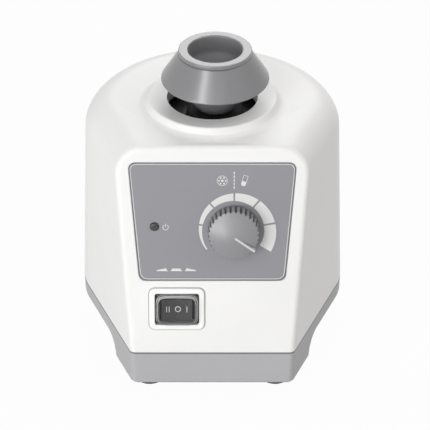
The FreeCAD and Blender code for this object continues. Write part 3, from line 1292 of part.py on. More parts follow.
def on_knob(item):
    """Sets a body built about the knob's own axis on the front, turned to the pointer."""
    lean = FreeCAD.Rotation(FreeCAD.Vector(1, 0, 0), 90 - number("front_tilt"))
    spin = FreeCAD.Rotation(FreeCAD.Vector(0, 0, 1), 90 - number("pointer_angle"))
    corner = FreeCAD.Vector(0, number("-half_depth"), number(PARTING))
    middle = corner + lean.multVec(FreeCAD.Vector(number("knob_x"), number("knob_s"), 0))
    item.Placement = FreeCAD.Placement(middle, lean.multiply(spin))
    return item


on_knob(knob)
pointer = new_body("knob_pointer")
POINTER_END = "knob_face_radius + pointer_reach"
pointer_sketch = polygon(new_sketch(pointer, "XY_Plane", f"{KNOB_TOP} - pointer_depth"), [
    ("pointer_inner", "-pointer_width / 2"), (POINTER_END, "-pointer_width / 2"),
    (POINTER_END, "pointer_width / 2"), ("pointer_inner", "pointer_width / 2")])
pad(pointer, pointer_sketch, "pointer_depth + pointer_proud")
on_knob(pointer)
cut("speed_knob", knob, pointer)

# Control board behind the panel.
BOARD_END = "(board_foot + board_height)"
board = plate("board_blank", [("-board_half", "board_foot"), ("board_half", "board_foot"),
                              ("board_half", BOARD_END), ("-board_half", BOARD_END)], BOARD_LOW, BOARD_TOP)
board_spacers = []
board_screws = []
board_holes = []
BOARD_ROWS = ("board_foot + spacer_inset", f"{BOARD_END} - spacer_inset")
for i, (sx, s) in enumerate([(sx, s) for sx in ("-1", "1") for s in BOARD_ROWS]):
    x = f"{sx} * spacer_x"
    tube = rod(f"board_tube_{i}", x, s, "spacer_radius", BOARD_TOP, "-wall")
    bore = rod(f"board_bore_{i}", x, s, "small_screw_radius + thread_gap", f"{BOARD_LOW} - overrun",
               "-wall - overrun")
    board_spacers.append(cut(f"board_spacer_{i}", tube, bore))
    board_holes.append(bore)
    stem = rod(f"board_stem_{i}", x, s, "small_screw_radius", f"{BOARD_LOW} - overrun", "-wall - screw_clear")
    head = rod(f"board_head_{i}", x, s, "small_head_radius", f"{BOARD_LOW} - small_head_height", BOARD_LOW)
    board_screws.append(fuse(f"board_screw_{i}", stem, head))
cut("control_board", board, *board_holes)
group("board_spacers", *board_spacers)
group("board_screws", *board_screws)
SINK_TIP = f"({BOARD_LOW} - sink_height)"
sink_block = plate("sink_block", oblong("sink_x", "sink_s", "sink_width", "sink_length"), SINK_TIP, BOARD_LOW)
slots = []
for i, share in enumerate(("-0.36", "-0.18", "0", "0.18", "0.36")):
    slots.append(plate(f"sink_slot_{i}", oblong(f"sink_x + sink_width * {share}", "sink_s", "sink_slot",
                                                "sink_length + 2 * overrun"),
                       f"{SINK_TIP} - overrun", f"{BOARD_LOW} - sink_web"))
cut("heatsink", sink_block, *slots)
TRIAC_S = "(sink_s - sink_length / 2 - triac_thickness / 2)"
plate("triac", oblong("sink_x", TRIAC_S, "triac_width", "triac_thickness"), f"{SINK_TIP} + triac_drop", BOARD_LOW)
plate("suppression_capacitor", oblong("capacitor_x", "capacitor_s", "capacitor_width", "capacitor_thickness"),
      f"{BOARD_LOW} - capacitor_height", BOARD_LOW, "capacitor_round")
GLASS_Z = f"({BOARD_LOW} - fuse_radius - fuse_lift)"


def fuse_tube(label, radius, length):
    """Round piece along X on the fuse's axis."""
    body = new_body(label)
    sketch = circle(new_sketch(body, "YZ_Plane", "fuse_x"), "fuse_s", GLASS_Z, radius)
    pad(body, sketch, length, both_ways=True)
    return on_front(body)


fuse_tube("glass_fuse", "fuse_radius", "fuse_length")
fuse_seat = fuse_tube("fuse_seat", "fuse_radius + thread_gap", "fuse_length + 2 * overrun")
clips = []
for side, sign in SIDES:
    clip = plate(f"fuse_clip_blank_{side}", oblong(f"fuse_x + {sign} * (fuse_length / 2 - clip_inset)", "fuse_s",
                                                   "clip_width", "2 * (fuse_radius + clip_wall)"),
                 f"{GLASS_Z} - clip_wall", BOARD_LOW)
    clips.append(cut(f"fuse_clip_{side}", clip, fuse_seat))
group("fuse_clips", *clips)

# Mains inlet at the back.
FLANGE_OUT = f"({INLET_FLOOR} + inlet_flange)"
INLET_END = f"({INLET_FLOOR} - inlet_depth)"
inlet_plate = block("inlet_plate", "-inlet_flange_half", "inlet_flange_half", INLET_FLOOR, FLANGE_OUT,
                    "inlet_z - inlet_flange_height / 2", "inlet_z + inlet_flange_height / 2")
inlet_case = block("inlet_case", "-inlet_body_half", "inlet_body_half", INLET_END, f"{INLET_FLOOR} + overrun",
                   "inlet_z - inlet_body_height / 2", "inlet_z + inlet_body_height / 2")
SOCK_HALF = "(inlet_body_half - inlet_wall)"
SOCK_RISE = "(inlet_body_height / 2 - inlet_wall)"
SOCK_FLOOR = f"({INLET_END} + inlet_floor_wall)"
socket = block("inlet_socket", f"-{SOCK_HALF}", SOCK_HALF, SOCK_FLOOR, f"{FLANGE_OUT} + overrun",
               f"inlet_z - {SOCK_RISE}", f"inlet_z + {SOCK_RISE}")
inlet_screw_holes = []
inlet_screws = []
for side, sign in SIDES:
    x = f"{sign} * inlet_screw_x"
    inlet_screw_holes.append(along_y(f"inlet_screw_hole_{side}", "small_screw_radius + thread_gap", x,
                                     f"{FLANGE_OUT} + overrun", "inlet_z", "inlet_flange + 2 * overrun"))
    stem = along_y(f"inlet_screw_stem_{side}", "small_screw_radius", x, FLANGE_OUT, "inlet_z",
                   "inlet_flange + inlet_screw_bite")
    head = along_y(f"inlet_screw_head_{side}", "small_head_radius", x, f"{FLANGE_OUT} + small_head_height",
                   "inlet_z", "small_head_height")
    inlet_screws.append(fuse(f"inlet_screw_{side}", stem, head))
pins = []
pin_slots = []
for i, (step, drop) in enumerate((("-1", "-1"), ("1", "-1"), ("0", "1"))):
    x = f"{step} * inlet_pin_x"
    z = f"inlet_z + {drop} * inlet_pin_z"
    spot = (f"{x} - inlet_pin_thickness / 2", f"{x} + inlet_pin_thickness / 2",
            f"{INLET_END} - inlet_pin_tail", f"{SOCK_FLOOR} + inlet_pin_reach",
            f"{z} - inlet_pin_width / 2", f"{z} + inlet_pin_width / 2")
    pins.append(block(f"inlet_pin_{i}", *spot))
    pin_slots.append(block(f"inlet_pin_slot_{i}", *spot))
cut("mains_inlet", fuse("inlet_blank", inlet_plate, inlet_case), socket, *inlet_screw_holes, *pin_slots)
group("inlet_pins", *pins)
group("inlet_screws", *inlet_screws)

# Microswitch that the carriage plate closes when the cup is pressed.
MICRO_TOP = f"({PLATE_LOW} - micro_drop)"
LEVER_Z = f"({MICRO_TOP} + free_gap)"
HEEL_X = "(lever_inset - micro_length / 2)"
PIN_Z = f"({LEVER_Z} + lever_thickness / 2)"
micro_case = block("microswitch_case", "-micro_length / 2", "micro_length / 2", "micro_y - micro_width / 2",
                   "micro_y + micro_width / 2", BALLAST_TOP, MICRO_TOP)
ears = []
for side, sign in SIDES:
    middle = f"micro_y + {sign} * (lever_width / 2 + run_gap + ear_thickness / 2)"
    ears.append(block(f"micro_ear_{side}", f"{HEEL_X} - lever_inset", f"{HEEL_X} + lever_inset",
                      f"{middle} - ear_thickness / 2", f"{middle} + ear_thickness / 2",
                      f"{MICRO_TOP} - overrun", f"{PIN_Z} + 2 * lever_pin_radius"))
pin_hole = cross_rod("lever_pin_hole", HEEL_X, PIN_Z, "lever_pin_radius + run_gap", "micro_y", "2 * micro_width")
cut("microswitch", fuse("microswitch_blank", micro_case, *ears), pin_hole)
tabs = []
for i, share in enumerate(("-0.36", "0", "0.36")):
    tabs.append(block(f"micro_tab_{i}", f"micro_length * {share} - tab_half", f"micro_length * {share} + tab_half",
                      "micro_y + micro_width / 2", "micro_y + micro_width / 2 + tab_length",
                      f"{BALLAST_TOP} + tab_lift", f"{BALLAST_TOP} + tab_lift + tab_thickness"))
group("microswitch_tabs", *tabs)
lever = new_body("lever_blade")
lever_sketch = new_sketch(lever, "XZ_Plane", "-micro_y - lever_width / 2")
TIP_X = f"({BOLT_RIGHT} - screw_head_radius - lever_tip_gap)"
polygon(lever_sketch, [
    (HEEL_X, LEVER_Z), (f"{HEEL_X} + lever_heel", LEVER_Z),
    (TIP_X, f"{PLATE_LOW} - free_gap - lever_thickness"), (TIP_X, f"{PLATE_LOW} - free_gap"),
    (f"{HEEL_X} + lever_heel", f"{LEVER_Z} + lever_thickness"), (HEEL_X, f"{LEVER_Z} + lever_thickness")])
pad(lever, lever_sketch, "lever_width")
lever_pin = cross_rod("lever_pin", HEEL_X, PIN_Z, "lever_pin_radius", "micro_y",
                      "lever_width + 2 * (run_gap + ear_thickness)")
fuse("microswitch_lever", lever, lever_pin)

PIECES = """
upper_housing base ballast_plate rubber_feet foot_screws housing_screws front_panel lamp_lens lamp_spacer
switch_bezel switch_body switch_terminals switch_boot switch_rocker potentiometer_body potentiometer_nut
potentiometer_spindle speed_knob knob_pointer control_board board_spacers board_screws heatsink triac
suppression_capacitor glass_fuse fuse_clips mains_inlet inlet_pins inlet_screws guide_posts post_nuts
rubber_buffers guide_bushes carriage_plate motor_spacers motor_bolts bracket_bolts stator_stack coil_bobbin
coil_winding upper_bracket lower_bracket shaft_bushes motor_shaft rotor_core cooling_fan eccentric_hub
hub_set_screw counterweight bearing_inner_ring bearing_screw bearing_outer_ring bearing_balls drive_head
splash_shield cup microswitch microswitch_tabs microswitch_lever
""".split()

doc.recompute()
os.makedirs("parts", exist_ok=True)
for item in doc.Objects:
    if "Invalid" in item.State or "Error" in item.State:
        raise RuntimeError(f"{item.Label} did not build: {item.State}")
for label in PIECES:
    item = doc.getObjectsByLabel(label)[0]
    if item.Shape.isNull() or not item.Shape.isValid():
        raise RuntimeError(f"{label} has no valid shape")
    item.Shape.exportStep(f"parts/{label}.step")
    print(f"{label:24s} solids {len(item.Shape.Solids):2d} volume {item.Shape.Volume:10.1f}")
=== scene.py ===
import math

import bmesh
import bpy
import numpy as np
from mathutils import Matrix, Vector


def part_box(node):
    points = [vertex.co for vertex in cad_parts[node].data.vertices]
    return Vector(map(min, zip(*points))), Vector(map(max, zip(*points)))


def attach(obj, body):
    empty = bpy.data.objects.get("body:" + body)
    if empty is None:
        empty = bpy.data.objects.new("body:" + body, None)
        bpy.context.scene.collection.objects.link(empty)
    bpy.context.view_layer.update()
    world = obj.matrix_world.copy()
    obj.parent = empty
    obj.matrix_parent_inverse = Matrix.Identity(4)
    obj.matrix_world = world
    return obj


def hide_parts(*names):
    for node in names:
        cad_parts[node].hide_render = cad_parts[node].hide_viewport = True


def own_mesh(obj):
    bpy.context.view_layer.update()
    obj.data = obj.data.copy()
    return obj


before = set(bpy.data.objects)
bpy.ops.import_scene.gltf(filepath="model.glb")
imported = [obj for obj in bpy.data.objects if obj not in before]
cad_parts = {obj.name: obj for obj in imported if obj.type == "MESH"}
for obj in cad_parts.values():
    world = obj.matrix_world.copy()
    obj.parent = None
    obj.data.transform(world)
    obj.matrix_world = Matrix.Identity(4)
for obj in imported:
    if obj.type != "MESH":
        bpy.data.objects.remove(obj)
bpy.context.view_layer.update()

# Base tray: the lower half of the case, one grey ABS moulding with a dull spark-eroded skin.
# It closes against the white hood, and the joint shows as a thin shadow line under its rim.
MM = 0.001
BASE_GREY = (177, 177, 179)
BASE_ANGLE = 14
JOINT_LOW, JOINT_HIGH = 23.2, 23.6


class Field:
    """One value, colour or vector in a material's nodes. Sums of fields and numbers add Math nodes."""

    def __init__(self, tree, socket):
        self.tree = tree
        self.socket = socket

    def node(self, kind, settings=None, inputs=None, output=0):
        """Adds a node: its settings first, then the values or links of its sockets."""
        made = self.tree.nodes.new(kind)
        for key, value in (settings or {}).items():
            setattr(made, key, value)
        for key, value in (inputs or {}).items():
            if isinstance(value, Field):
                self.tree.links.new(value.socket, made.inputs[key])
            else:
                made.inputs[key].default_value = value
        return Field(self.tree, made.outputs[output])

    def math(self, operation, first, second=0.0):
        """One Math node."""
        return self.node("ShaderNodeMath", {"operation": operation}, {0: first, 1: second})

    def __add__(self, other):
        return self.math("ADD", self, other)

    def __sub__(self, other):
        return self.math("SUBTRACT", self, other)

    def __rsub__(self, other):
        return self.math("SUBTRACT", other, self)

    def __mul__(self, other):
        return self.math("MULTIPLY", self, other)

    def between(self, low, high):
        """0 below low and 1 above high, with a smooth step between them."""
        settings = {"interpolation_type": "SMOOTHSTEP"}
        return self.node("ShaderNodeMapRange", settings, {"Value": self, "From Min": low, "From Max": high})

    def axis(self, name):
        """One coordinate of a vector."""
        return self.node("ShaderNodeSeparateXYZ", None, {0: self}, name)

    def noise(self, scale, detail=3.0, stretch=(1.0, 1.0, 1.0)):
        """Clouds from 0 to 1, about 1 / scale metres across. A small stretch draws them out."""
        at = self.node("ShaderNodeVectorMath", {"operation": "MULTIPLY"}, {0: self, 1: stretch})
        return self.node("ShaderNodeTexNoise", None, {"Vector": at, "Scale": scale, "Detail": detail})

    def mix(self, first, second):
        """Colour that goes from first to second as this field goes from 0 to 1."""
        return self.node("ShaderNodeMix", {"data_type": "RGBA"}, {0: self, 6: first, 7: second}, 2)

    def bump(self, depth, strength):
        """Normal of a surface whose height is this field times depth, in mm."""
        inputs = {"Strength": strength, "Distance": depth * MM, "Height": self}
        return self.node("ShaderNodeBump", None, inputs)

    def feed(self, shader, name):
        """Links this field to a socket of the shader."""
        self.tree.links.new(self.socket, shader.inputs[name])


def shade(red, green, blue, share=1.0):
    """Linear colour of screen values from 0 to 255, times a share that makes it darker or lighter."""
    screen = np.array([red, green, blue]) / 255
    linear = np.where(screen <= 0.04045, screen / 12.92, ((screen + 0.055) / 1.055) ** 2.4) * share
    return (*linear.tolist(), 1.0)


def new_finish(name):
    """Material with its shader and its Object coordinates."""
    material = bpy.data.materials.new(name)
    material.use_nodes = True
    tree = material.node_tree
    place = Field(tree, tree.nodes.new("ShaderNodeTexCoord").outputs["Object"])
    return material, tree.nodes["Principled BSDF"], place


FLOW_SCALE = 28.0
FLOW_TONE, GRAIN_TONE = 0.65, 0.35
DARK_TONE, LIGHT_TONE = 0.93, 1.05
FLOW_DULL, GRAIN_DULL, HOLLOW_DULL = 0.08, 0.10, 0.35
GRAIN_BUMP = 0.5


def moulded(name, colour, grain, depth, rough, shadow_mask=None, shadow=0.4, gloss=0.5, hollow=None):
    """Moulded plastic or rubber: flow clouds in the colour, a grain bump, duller where the grain is deep.

    The mask for gaps is 1 in a narrow gap of the coordinates, where a painted shadow line leaves a share of
    the colour.
    hollow makes one that is 1 where the skin is duller. gloss is the strength of the reflections.
    """
    material, shader, place = new_finish(name)
    flow = place.noise(FLOW_SCALE)
    skin = place.noise(grain)
    tone = flow * FLOW_TONE + skin * GRAIN_TONE
    tone = tone.mix(shade(*colour, DARK_TONE), shade(*colour, LIGHT_TONE))
    if shadow_mask:
        tone = shadow_mask(place).mix(tone, shade(*colour, shadow))
    tone.feed(shader, "Base Color")
    dull = flow * FLOW_DULL + skin * GRAIN_DULL + (rough - (FLOW_DULL + GRAIN_DULL) / 2)
    if hollow:
        dull = dull + hollow(place) * HOLLOW_DULL
    dull.feed(shader, "Roughness")
    skin.bump(depth, GRAIN_BUMP).feed(shader, "Normal")
    shader.inputs["Specular IOR Level"].default_value = gloss
    return material


def case_joint_shade(place):
    """1 in the step under the rim where the two halves of the case meet; the base's colour is darkened
    there as a painted shadow line.
    """
    return place.axis("Z").between(JOINT_LOW * MM, JOINT_HIGH * MM)


scene = bpy.context.scene
SKIN_WELD = 2e-6
SAME_WAY = 0.99999
LEVEL_ANGLE = 0.2


def skinned(node, name, material, body, angle, flat=None):
    """Copy of a CAD solid's skin, its triangles joined, shaded smooth over edges flatter than the angle.

    The faces that look along flat, if it is given, become one face, so that its shading is even.
    """
    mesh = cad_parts[node].data.copy()
    mesh.name = name
    work = bmesh.new()
    work.from_mesh(mesh)
    bmesh.ops.remove_doubles(work, verts=work.verts, dist=SKIN_WELD)
    if flat:
        work.normal_update()
        level = {face for face in work.faces if face.normal.dot(flat) > SAME_WAY}
        inner = [edge for edge in work.edges if level.issuperset(edge.link_faces)]
        bmesh.ops.dissolve_limit(work, angle_limit=math.radians(LEVEL_ANGLE), verts=[], edges=inner)
    work.to_mesh(mesh)
    work.free()
    mesh.materials.clear()
    mesh.materials.append(material)
    mesh.shade_smooth()
    mesh.set_sharp_from_angle(angle=math.radians(angle))
    made = bpy.data.objects.new(name, mesh)
    scene.collection.objects.link(made)
    weigh = made.modifiers.new("even_faces", "WEIGHTED_NORMAL")
    weigh.keep_sharp = True
    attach(made, body)
    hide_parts(node)


base_finish = moulded("base_abs", BASE_GREY, grain=1300.0, depth=0.035, rough=0.50, shadow_mask=case_joint_shade)
skinned("base", "base_shell", base_finish, "stand", BASE_ANGLE)

# Feet: four turned buttons of soft black rubber with a rounded tread and a deep well for the screw.
# Each is held to a post of the base by one screw through its middle.
FOOT_BLACK = (62, 62, 64)
FOOT_SPOTS = np.array([(-30.7, -51.5), (30.7, -51.5), (-30.7, 47.0), (30.7, 47.0)])
FOOT_CORNERS = [(3.72, 3.1), (3.72, 0.0), (7.3, 0.0), (7.55, 2.0), (7.2, 2.6), (7.75, 3.2), (8.0, 6.2),
                (2.06, 6.2), (2.06, 3.1), (3.72, 3.1)]
FOOT_EASE = 0.5
MOST_OF_RUN = 0.45


def eased(corners, cut, steps=6):
    """Profile with rounded corners: each becomes a parabola that starts and ends a distance cut from it.

    On a short run the parabola takes no more than a share of the run.
    """
    at = np.asarray(corners, float)
    before = at[:-2] - at[1:-1]
    after = at[2:] - at[1:-1]
    in_length = np.linalg.norm(before, axis=1)
    out_length = np.linalg.norm(after, axis=1)
    reach = np.minimum(cut, MOST_OF_RUN * np.minimum(in_length, out_length))
    first = at[1:-1] + before * (reach / in_length)[:, None]
    last = at[1:-1] + after * (reach / out_length)[:, None]
    t = np.linspace(0, 1, steps)[None, :, None]
    arcs = (1 - t) ** 2 * first[:, None] + 2 * t * (1 - t) * at[1:-1][:, None] + t ** 2 * last[:, None]
    return np.vstack([at[:1], arcs.reshape(-1, 2), at[-1:]])


def turned(profile, spot, around=72):
    """Profile of (radius, height) turned about an upright line.

    x = cx + r cos a, y = cy + r sin a, z = h, where (cx, cy) is the spot.
    """
    angle = np.linspace(0, 2 * np.pi, around, endpoint=False)[None, :]
    radius, height = profile[:, :1], profile[:, 1:]
    rows = np.broadcast_arrays(spot[0] + radius * np.cos(angle), spot[1] + radius * np.sin(angle), height)
    return np.stack(rows, -1) * MM


AROUND = (False, True)
POINT_WELD, SLIVER = 1e-6, 1e-7


def piece(name, grids, wrap, material, body, nodes=(), angle=40, facing=None):
    """One mesh from grids of points (rows, columns, 3): each cell of a grid is a face.

    wrap says whether the last row and the last column join the first. Doubles are merged, so poles and
    seams close, and faces turn outwards, or towards facing.
    """
    points = np.concatenate([grid.reshape(-1, 3) for grid in grids])
    cells = []
    start = 0
    for grid in grids:
        rows, columns = grid.shape[:2]
        index = start + np.arange(rows * columns).reshape(rows, columns)
        start += rows * columns
        if wrap[0]:
            index = np.concatenate([index, index[:1]], 0)
        if wrap[1]:
            index = np.concatenate([index, index[:, :1]], 1)
        corners = [index[:-1, :-1], index[:-1, 1:], index[1:, 1:], index[1:, :-1]]
        cells.append(np.stack(corners, -1).reshape(-1, 4))
    mesh = bpy.data.meshes.new(name)
    mesh.from_pydata(points.tolist(), [], np.concatenate(cells).tolist())
    work = bmesh.new()
    work.from_mesh(mesh)
    bmesh.ops.remove_doubles(work, verts=work.verts, dist=POINT_WELD)
    bmesh.ops.dissolve_degenerate(work, edges=work.edges, dist=SLIVER)
    if facing is None:
        bmesh.ops.recalc_face_normals(work, faces=work.faces)
    else:
        work.normal_update()
        bmesh.ops.reverse_faces(work, faces=[face for face in work.faces if face.normal.dot(facing) < 0])
    work.to_mesh(mesh)
    work.free()
    mesh.materials.append(material)
    mesh.shade_smooth()
    mesh.set_sharp_from_angle(angle=math.radians(angle))
    made = bpy.data.objects.new(name, mesh)
    scene.collection.objects.link(made)
    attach(made, body)
    if nodes:
        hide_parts(*nodes)
    return made


foot_profile = eased(FOOT_CORNERS, FOOT_EASE)
foot_finish = moulded("foot_rubber", FOOT_BLACK, grain=900.0, depth=0.05, rough=0.72)
foot_grids = [turned(foot_profile, spot) for spot in FOOT_SPOTS]
piece("feet", foot_grids, AROUND, foot_finish, "stand", ["rubber_feet"])

# Screws of the feet and of the case: bright steel with pan heads, driven up into the base's posts.
# Turning leaves fine marks round them. Other small parts have a zinc plating with a slight yellow cast.
ZINC = (196, 194, 186)
STEEL = (186, 188, 190)
TARNISH_SCALE = 60.0
TARNISH_TONE, SCRATCH_TONE = 0.6, 0.4
OLD_TONE, BRIGHT_TONE = 0.80, 1.06
TARNISH_DULL, SCRATCH_DULL = 0.14, 0.20
SCRATCH_BUMP = 0.6
EVEN_WAYS = (1.0, 1.0, 1.0)


def metal(name, colour, rough, stretch, scratch, depth=0.01):
    """Bare or plated metal: clouds of tarnish in the colour, and scratches drawn out along an axis."""
    material, shader, place = new_finish(name)
    shader.inputs["Metallic"].default_value = 1.0
    tarnish = place.noise(TARNISH_SCALE, detail=4.0)
    marks = place.noise(scratch, stretch=stretch)
    tone = tarnish * TARNISH_TONE + marks * SCRATCH_TONE
    tone.mix(shade(*colour, OLD_TONE), shade(*colour, BRIGHT_TONE)).feed(shader, "Base Color")
    dull = tarnish * TARNISH_DULL + marks * SCRATCH_DULL + (rough - (TARNISH_DULL + SCRATCH_DULL) / 2)
    dull.feed(shader, "Roughness")
    marks.bump(depth, SCRATCH_BUMP).feed(shader, "Normal")
    return material


def dress(material, *nodes):
    """Gives CAD nodes their finish through their objects' material slots."""
    for node in nodes:
        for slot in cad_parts[node].material_slots:
            slot.material = material


zinc_finish = metal("plated_zinc", ZINC, rough=0.34, stretch=(1.0, 1.0, 0.15), scratch=1400.0)
steel_finish = metal("bright_steel", STEEL, rough=0.28, stretch=(1.0, 1.0, 0.08), scratch=1800.0)
dress(steel_finish, "foot_screws", "housing_screws")

# Ballast plate: a slab of cast iron on the floor of the base, whose weight keeps the mixer still.
# It has a sand-cast skin under a thin black wash.
BALLAST_BLACK, BALLAST_IRON = (52, 51, 50), (92, 86, 80)
SAND_SCALE, WASH_SCALE = 700.0, 90.0
WASH_THIN, WASH_GONE = 0.42, 0.62
BARE_DULL, SAND_DULL, WASH_ROUGH, BARE_METAL = 0.2, 0.25, 0.42, 0.5
ballast_finish, ballast_shader, ballast_place = new_finish("ballast_casting")
ballast_skin = ballast_place.noise(SAND_SCALE, detail=5.0)
ballast_bare = ballast_place.noise(WASH_SCALE, detail=4.0).between(WASH_THIN, WASH_GONE)
ballast_bare.mix(shade(*BALLAST_BLACK), shade(*BALLAST_IRON)).feed(ballast_shader, "Base Color")
(ballast_bare * BARE_DULL + ballast_skin * SAND_DULL + WASH_ROUGH).feed(ballast_shader, "Roughness")
(ballast_bare * BARE_METAL).feed(ballast_shader, "Metallic")
ballast_skin.bump(depth=0.12, strength=0.8).feed(ballast_shader, "Normal")
dress(ballast_finish, "ballast_plate")

# Posts, nuts and buffers: four steel posts stand on the ballast and carry barrel-shaped rubber buffers,
# which shorten when the cup is pressed. Zinc nuts at the tops of the posts stop the carriage.
BUFFER_BLACK = (46, 46, 48)
BUFFER_SPOTS = np.array([(-30.0, -26.0), (30.0, -26.0), (-30.0, 24.0), (30.0, 24.0)])
BUFFER_LOW, BUFFER_HIGH, BUFFER_BORE = 17.2, 30.5, 4.35
BUFFER_END, BUFFER_BULGE = 7.0, 0.8
BUFFER_RIPPLE, BUFFER_RIPPLES = 0.16, 3


def barrel(steps=25):
    """Section of a buffer as (radius, height), closed at its bore.

    With t from 0 to 1 up its side, r = end + sin(pi t) (bulge + ripple cos(2 pi n t)).
    """
    t = np.linspace(0, 1, steps)
    ripple = BUFFER_RIPPLE * np.cos(2 * np.pi * BUFFER_RIPPLES * t)
    radius = BUFFER_END + np.sin(np.pi * t) * (BUFFER_BULGE + ripple)
    height = BUFFER_LOW + (BUFFER_HIGH - BUFFER_LOW) * t
    bore = [(BUFFER_BORE, BUFFER_HIGH), (BUFFER_BORE, BUFFER_LOW)]
    return np.vstack([bore[1:], np.stack([radius, height], -1), bore])


buffer_finish = moulded("buffer_rubber", BUFFER_BLACK, grain=1100.0, depth=0.04, rough=0.68)
buffer_grids = [turned(barrel(), spot, around=48) for spot in BUFFER_SPOTS]
buffers = piece("buffers", buffer_grids, AROUND, buffer_finish, "stand", ["rubber_buffers"])
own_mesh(buffers)
dress(steel_finish, "guide_posts")
dress(zinc_finish, "post_nuts")

# Carriage: a punched and plated steel plate that slides on the posts in nylon bushes.
# Spacers and long bolts hold the motor above it.
NYLON = (222, 217, 200)
PLATE_ZINC = (188, 188, 184)
nylon_finish = moulded("natural_nylon", NYLON, grain=700.0, depth=0.02, rough=0.42)
plate_finish = metal("plate_zinc", PLATE_ZINC, rough=0.38, stretch=(1.0, 0.06, 1.0), scratch=1100.0)
dress(nylon_finish, "guide_bushes")
dress(plate_finish, "carriage_plate")
dress(zinc_finish, "motor_spacers")
dress(steel_finish, "motor_bolts", "bracket_bolts")

# Motor: a stack of punched steel sheets with a coil of enamelled wire on one leg.
# Two pressed brackets, bolted through the stack, hold the bronze bushes of the shaft.
STACK_GREY = (128, 130, 134)
BOBBIN_NYLON = (214, 206, 184)
BRACKET_ZINC = (178, 176, 166)
BRONZE, COPPER = (176, 132, 78), (168, 92, 48)
SHEET_PITCH = 0.5
SHEET_GAP_TONE, SHEET_TONE = 0.45, 1.1
LINE_TONE, VARNISH_TONE, VARNISH_SCALE = 0.7, 0.3, 120.0
LINE_DULL, VARNISH_DULL, SHEET_ROUGH = 0.1, 0.2, 0.36
SHEET_METAL = 0.85
WIRE, WIRE_GROOVE, WIRE_STEPS = 0.8, 0.35, 12
COIL_DEPTH, COIL_ROUND, COIL_CORNER_STEPS = 6.2, 0.6, 9
BOTH_WAYS = (True, True)


def stacked(name, colour):
    """Punched sheets stacked upwards: a dark line between sheets from a sine of the height."""
    material, shader, place = new_finish(name)
    line = place.math("SINE", place.axis("Z") * (2 * math.pi / (SHEET_PITCH * MM))) * 0.5 + 0.5
    varnish = place.noise(VARNISH_SCALE, detail=4.0)
    tone = line * LINE_TONE + varnish * VARNISH_TONE
    tone.mix(shade(*colour, SHEET_GAP_TONE), shade(*colour, SHEET_TONE)).feed(shader, "Base Color")
    shader.inputs["Metallic"].default_value = SHEET_METAL
    (varnish * VARNISH_DULL + line * LINE_DULL + SHEET_ROUGH).feed(shader, "Roughness")
    line.bump(depth=0.05, strength=0.7).feed(shader, "Normal")
    return material


def wound(low, high):
    """Coil about a box-shaped bobbin: a section with a sqrt(|sin|) bulge for each wire, carried round it.

    A point is the corner's centre plus the outward direction times inner round + depth in the coil.
    """
    length = high[1] - low[1]
    wires = int(length / WIRE)
    along = np.linspace(0, 1, WIRE_STEPS * wires + 1)
    bulge = np.sqrt(np.abs(np.sin(np.pi * along * wires)))
    ridge = COIL_DEPTH - WIRE * WIRE_GROOVE * (1 - bulge)
    offset = np.concatenate([[0.0], ridge, [0.0]])
    place = low[1] + length * np.concatenate([[0.0], along, [1.0]])
    corner = np.linspace(0, np.pi / 2, COIL_CORNER_STEPS)
    angle = np.concatenate([corner + quarter * np.pi / 2 for quarter in range(4)])
    inset = COIL_DEPTH + COIL_ROUND
    left, right = low[0] + inset, high[0] - inset
    bottom, top = low[2] + inset, high[2] - inset
    centre_x = np.repeat([right, left, left, right], COIL_CORNER_STEPS)
    centre_z = np.repeat([top, top, bottom, bottom], COIL_CORNER_STEPS)
    radius = (COIL_ROUND + offset)[:, None]
    x = centre_x + radius * np.cos(angle)
    z = centre_z + radius * np.sin(angle)
    return np.stack([x, np.broadcast_to(place[:, None], x.shape), z], -1) * MM


dress(stacked("punched_sheets", STACK_GREY), "stator_stack")
dress(moulded("bobbin_nylon", BOBBIN_NYLON, grain=800.0, depth=0.02, rough=0.45), "coil_bobbin")
bracket_finish = metal("bracket_zinc", BRACKET_ZINC, rough=0.36, stretch=(0.08, 1.0, 1.0), scratch=1000.0)
dress(bracket_finish, "upper_bracket", "lower_bracket")
bronze_finish = metal("sintered_bronze", BRONZE, rough=0.45, stretch=EVEN_WAYS, scratch=1600.0, depth=0.03)
dress(bronze_finish, "shaft_bushes")
coil_low, coil_high = (np.array(corner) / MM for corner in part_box("coil_winding"))
coil_grid = wound(coil_low, coil_high)
copper_finish = metal("enamelled_copper", COPPER, rough=0.30, stretch=(0.2, 1.0, 0.2), scratch=1500.0,
                      depth=0.015)
piece("coil", [coil_grid], BOTH_WAYS, copper_finish, "carriage", ["coil_winding"])

# Rotor: a ground steel shaft with a core of sheets, a moulded fan under it and a cast hub above it.
# The hub carries the bearing off the shaft's axis, with a brass counterweight opposite.
ROTOR_GREY = (150, 150, 150)
FAN_BLACK = (48, 49, 52)
CAST_ZINC = (150, 151, 153)
TURNED_BRASS = (190, 158, 92)
dress(steel_finish, "motor_shaft", "hub_set_screw", "bearing_screw")
dress(stacked("rotor_sheets", ROTOR_GREY), "rotor_core")
dress(moulded("fan_nylon", FAN_BLACK, grain=1200.0, depth=0.02, rough=0.5), "cooling_fan")
hub_finish = metal("cast_zinc", CAST_ZINC, rough=0.48, stretch=EVEN_WAYS, scratch=700.0, depth=0.04)
dress(hub_finish, "eccentric_hub")
weight_finish = metal("turned_brass", TURNED_BRASS, rough=0.32, stretch=(1.0, 1.0, 0.1), scratch=1600.0)
dress(weight_finish, "counterweight")

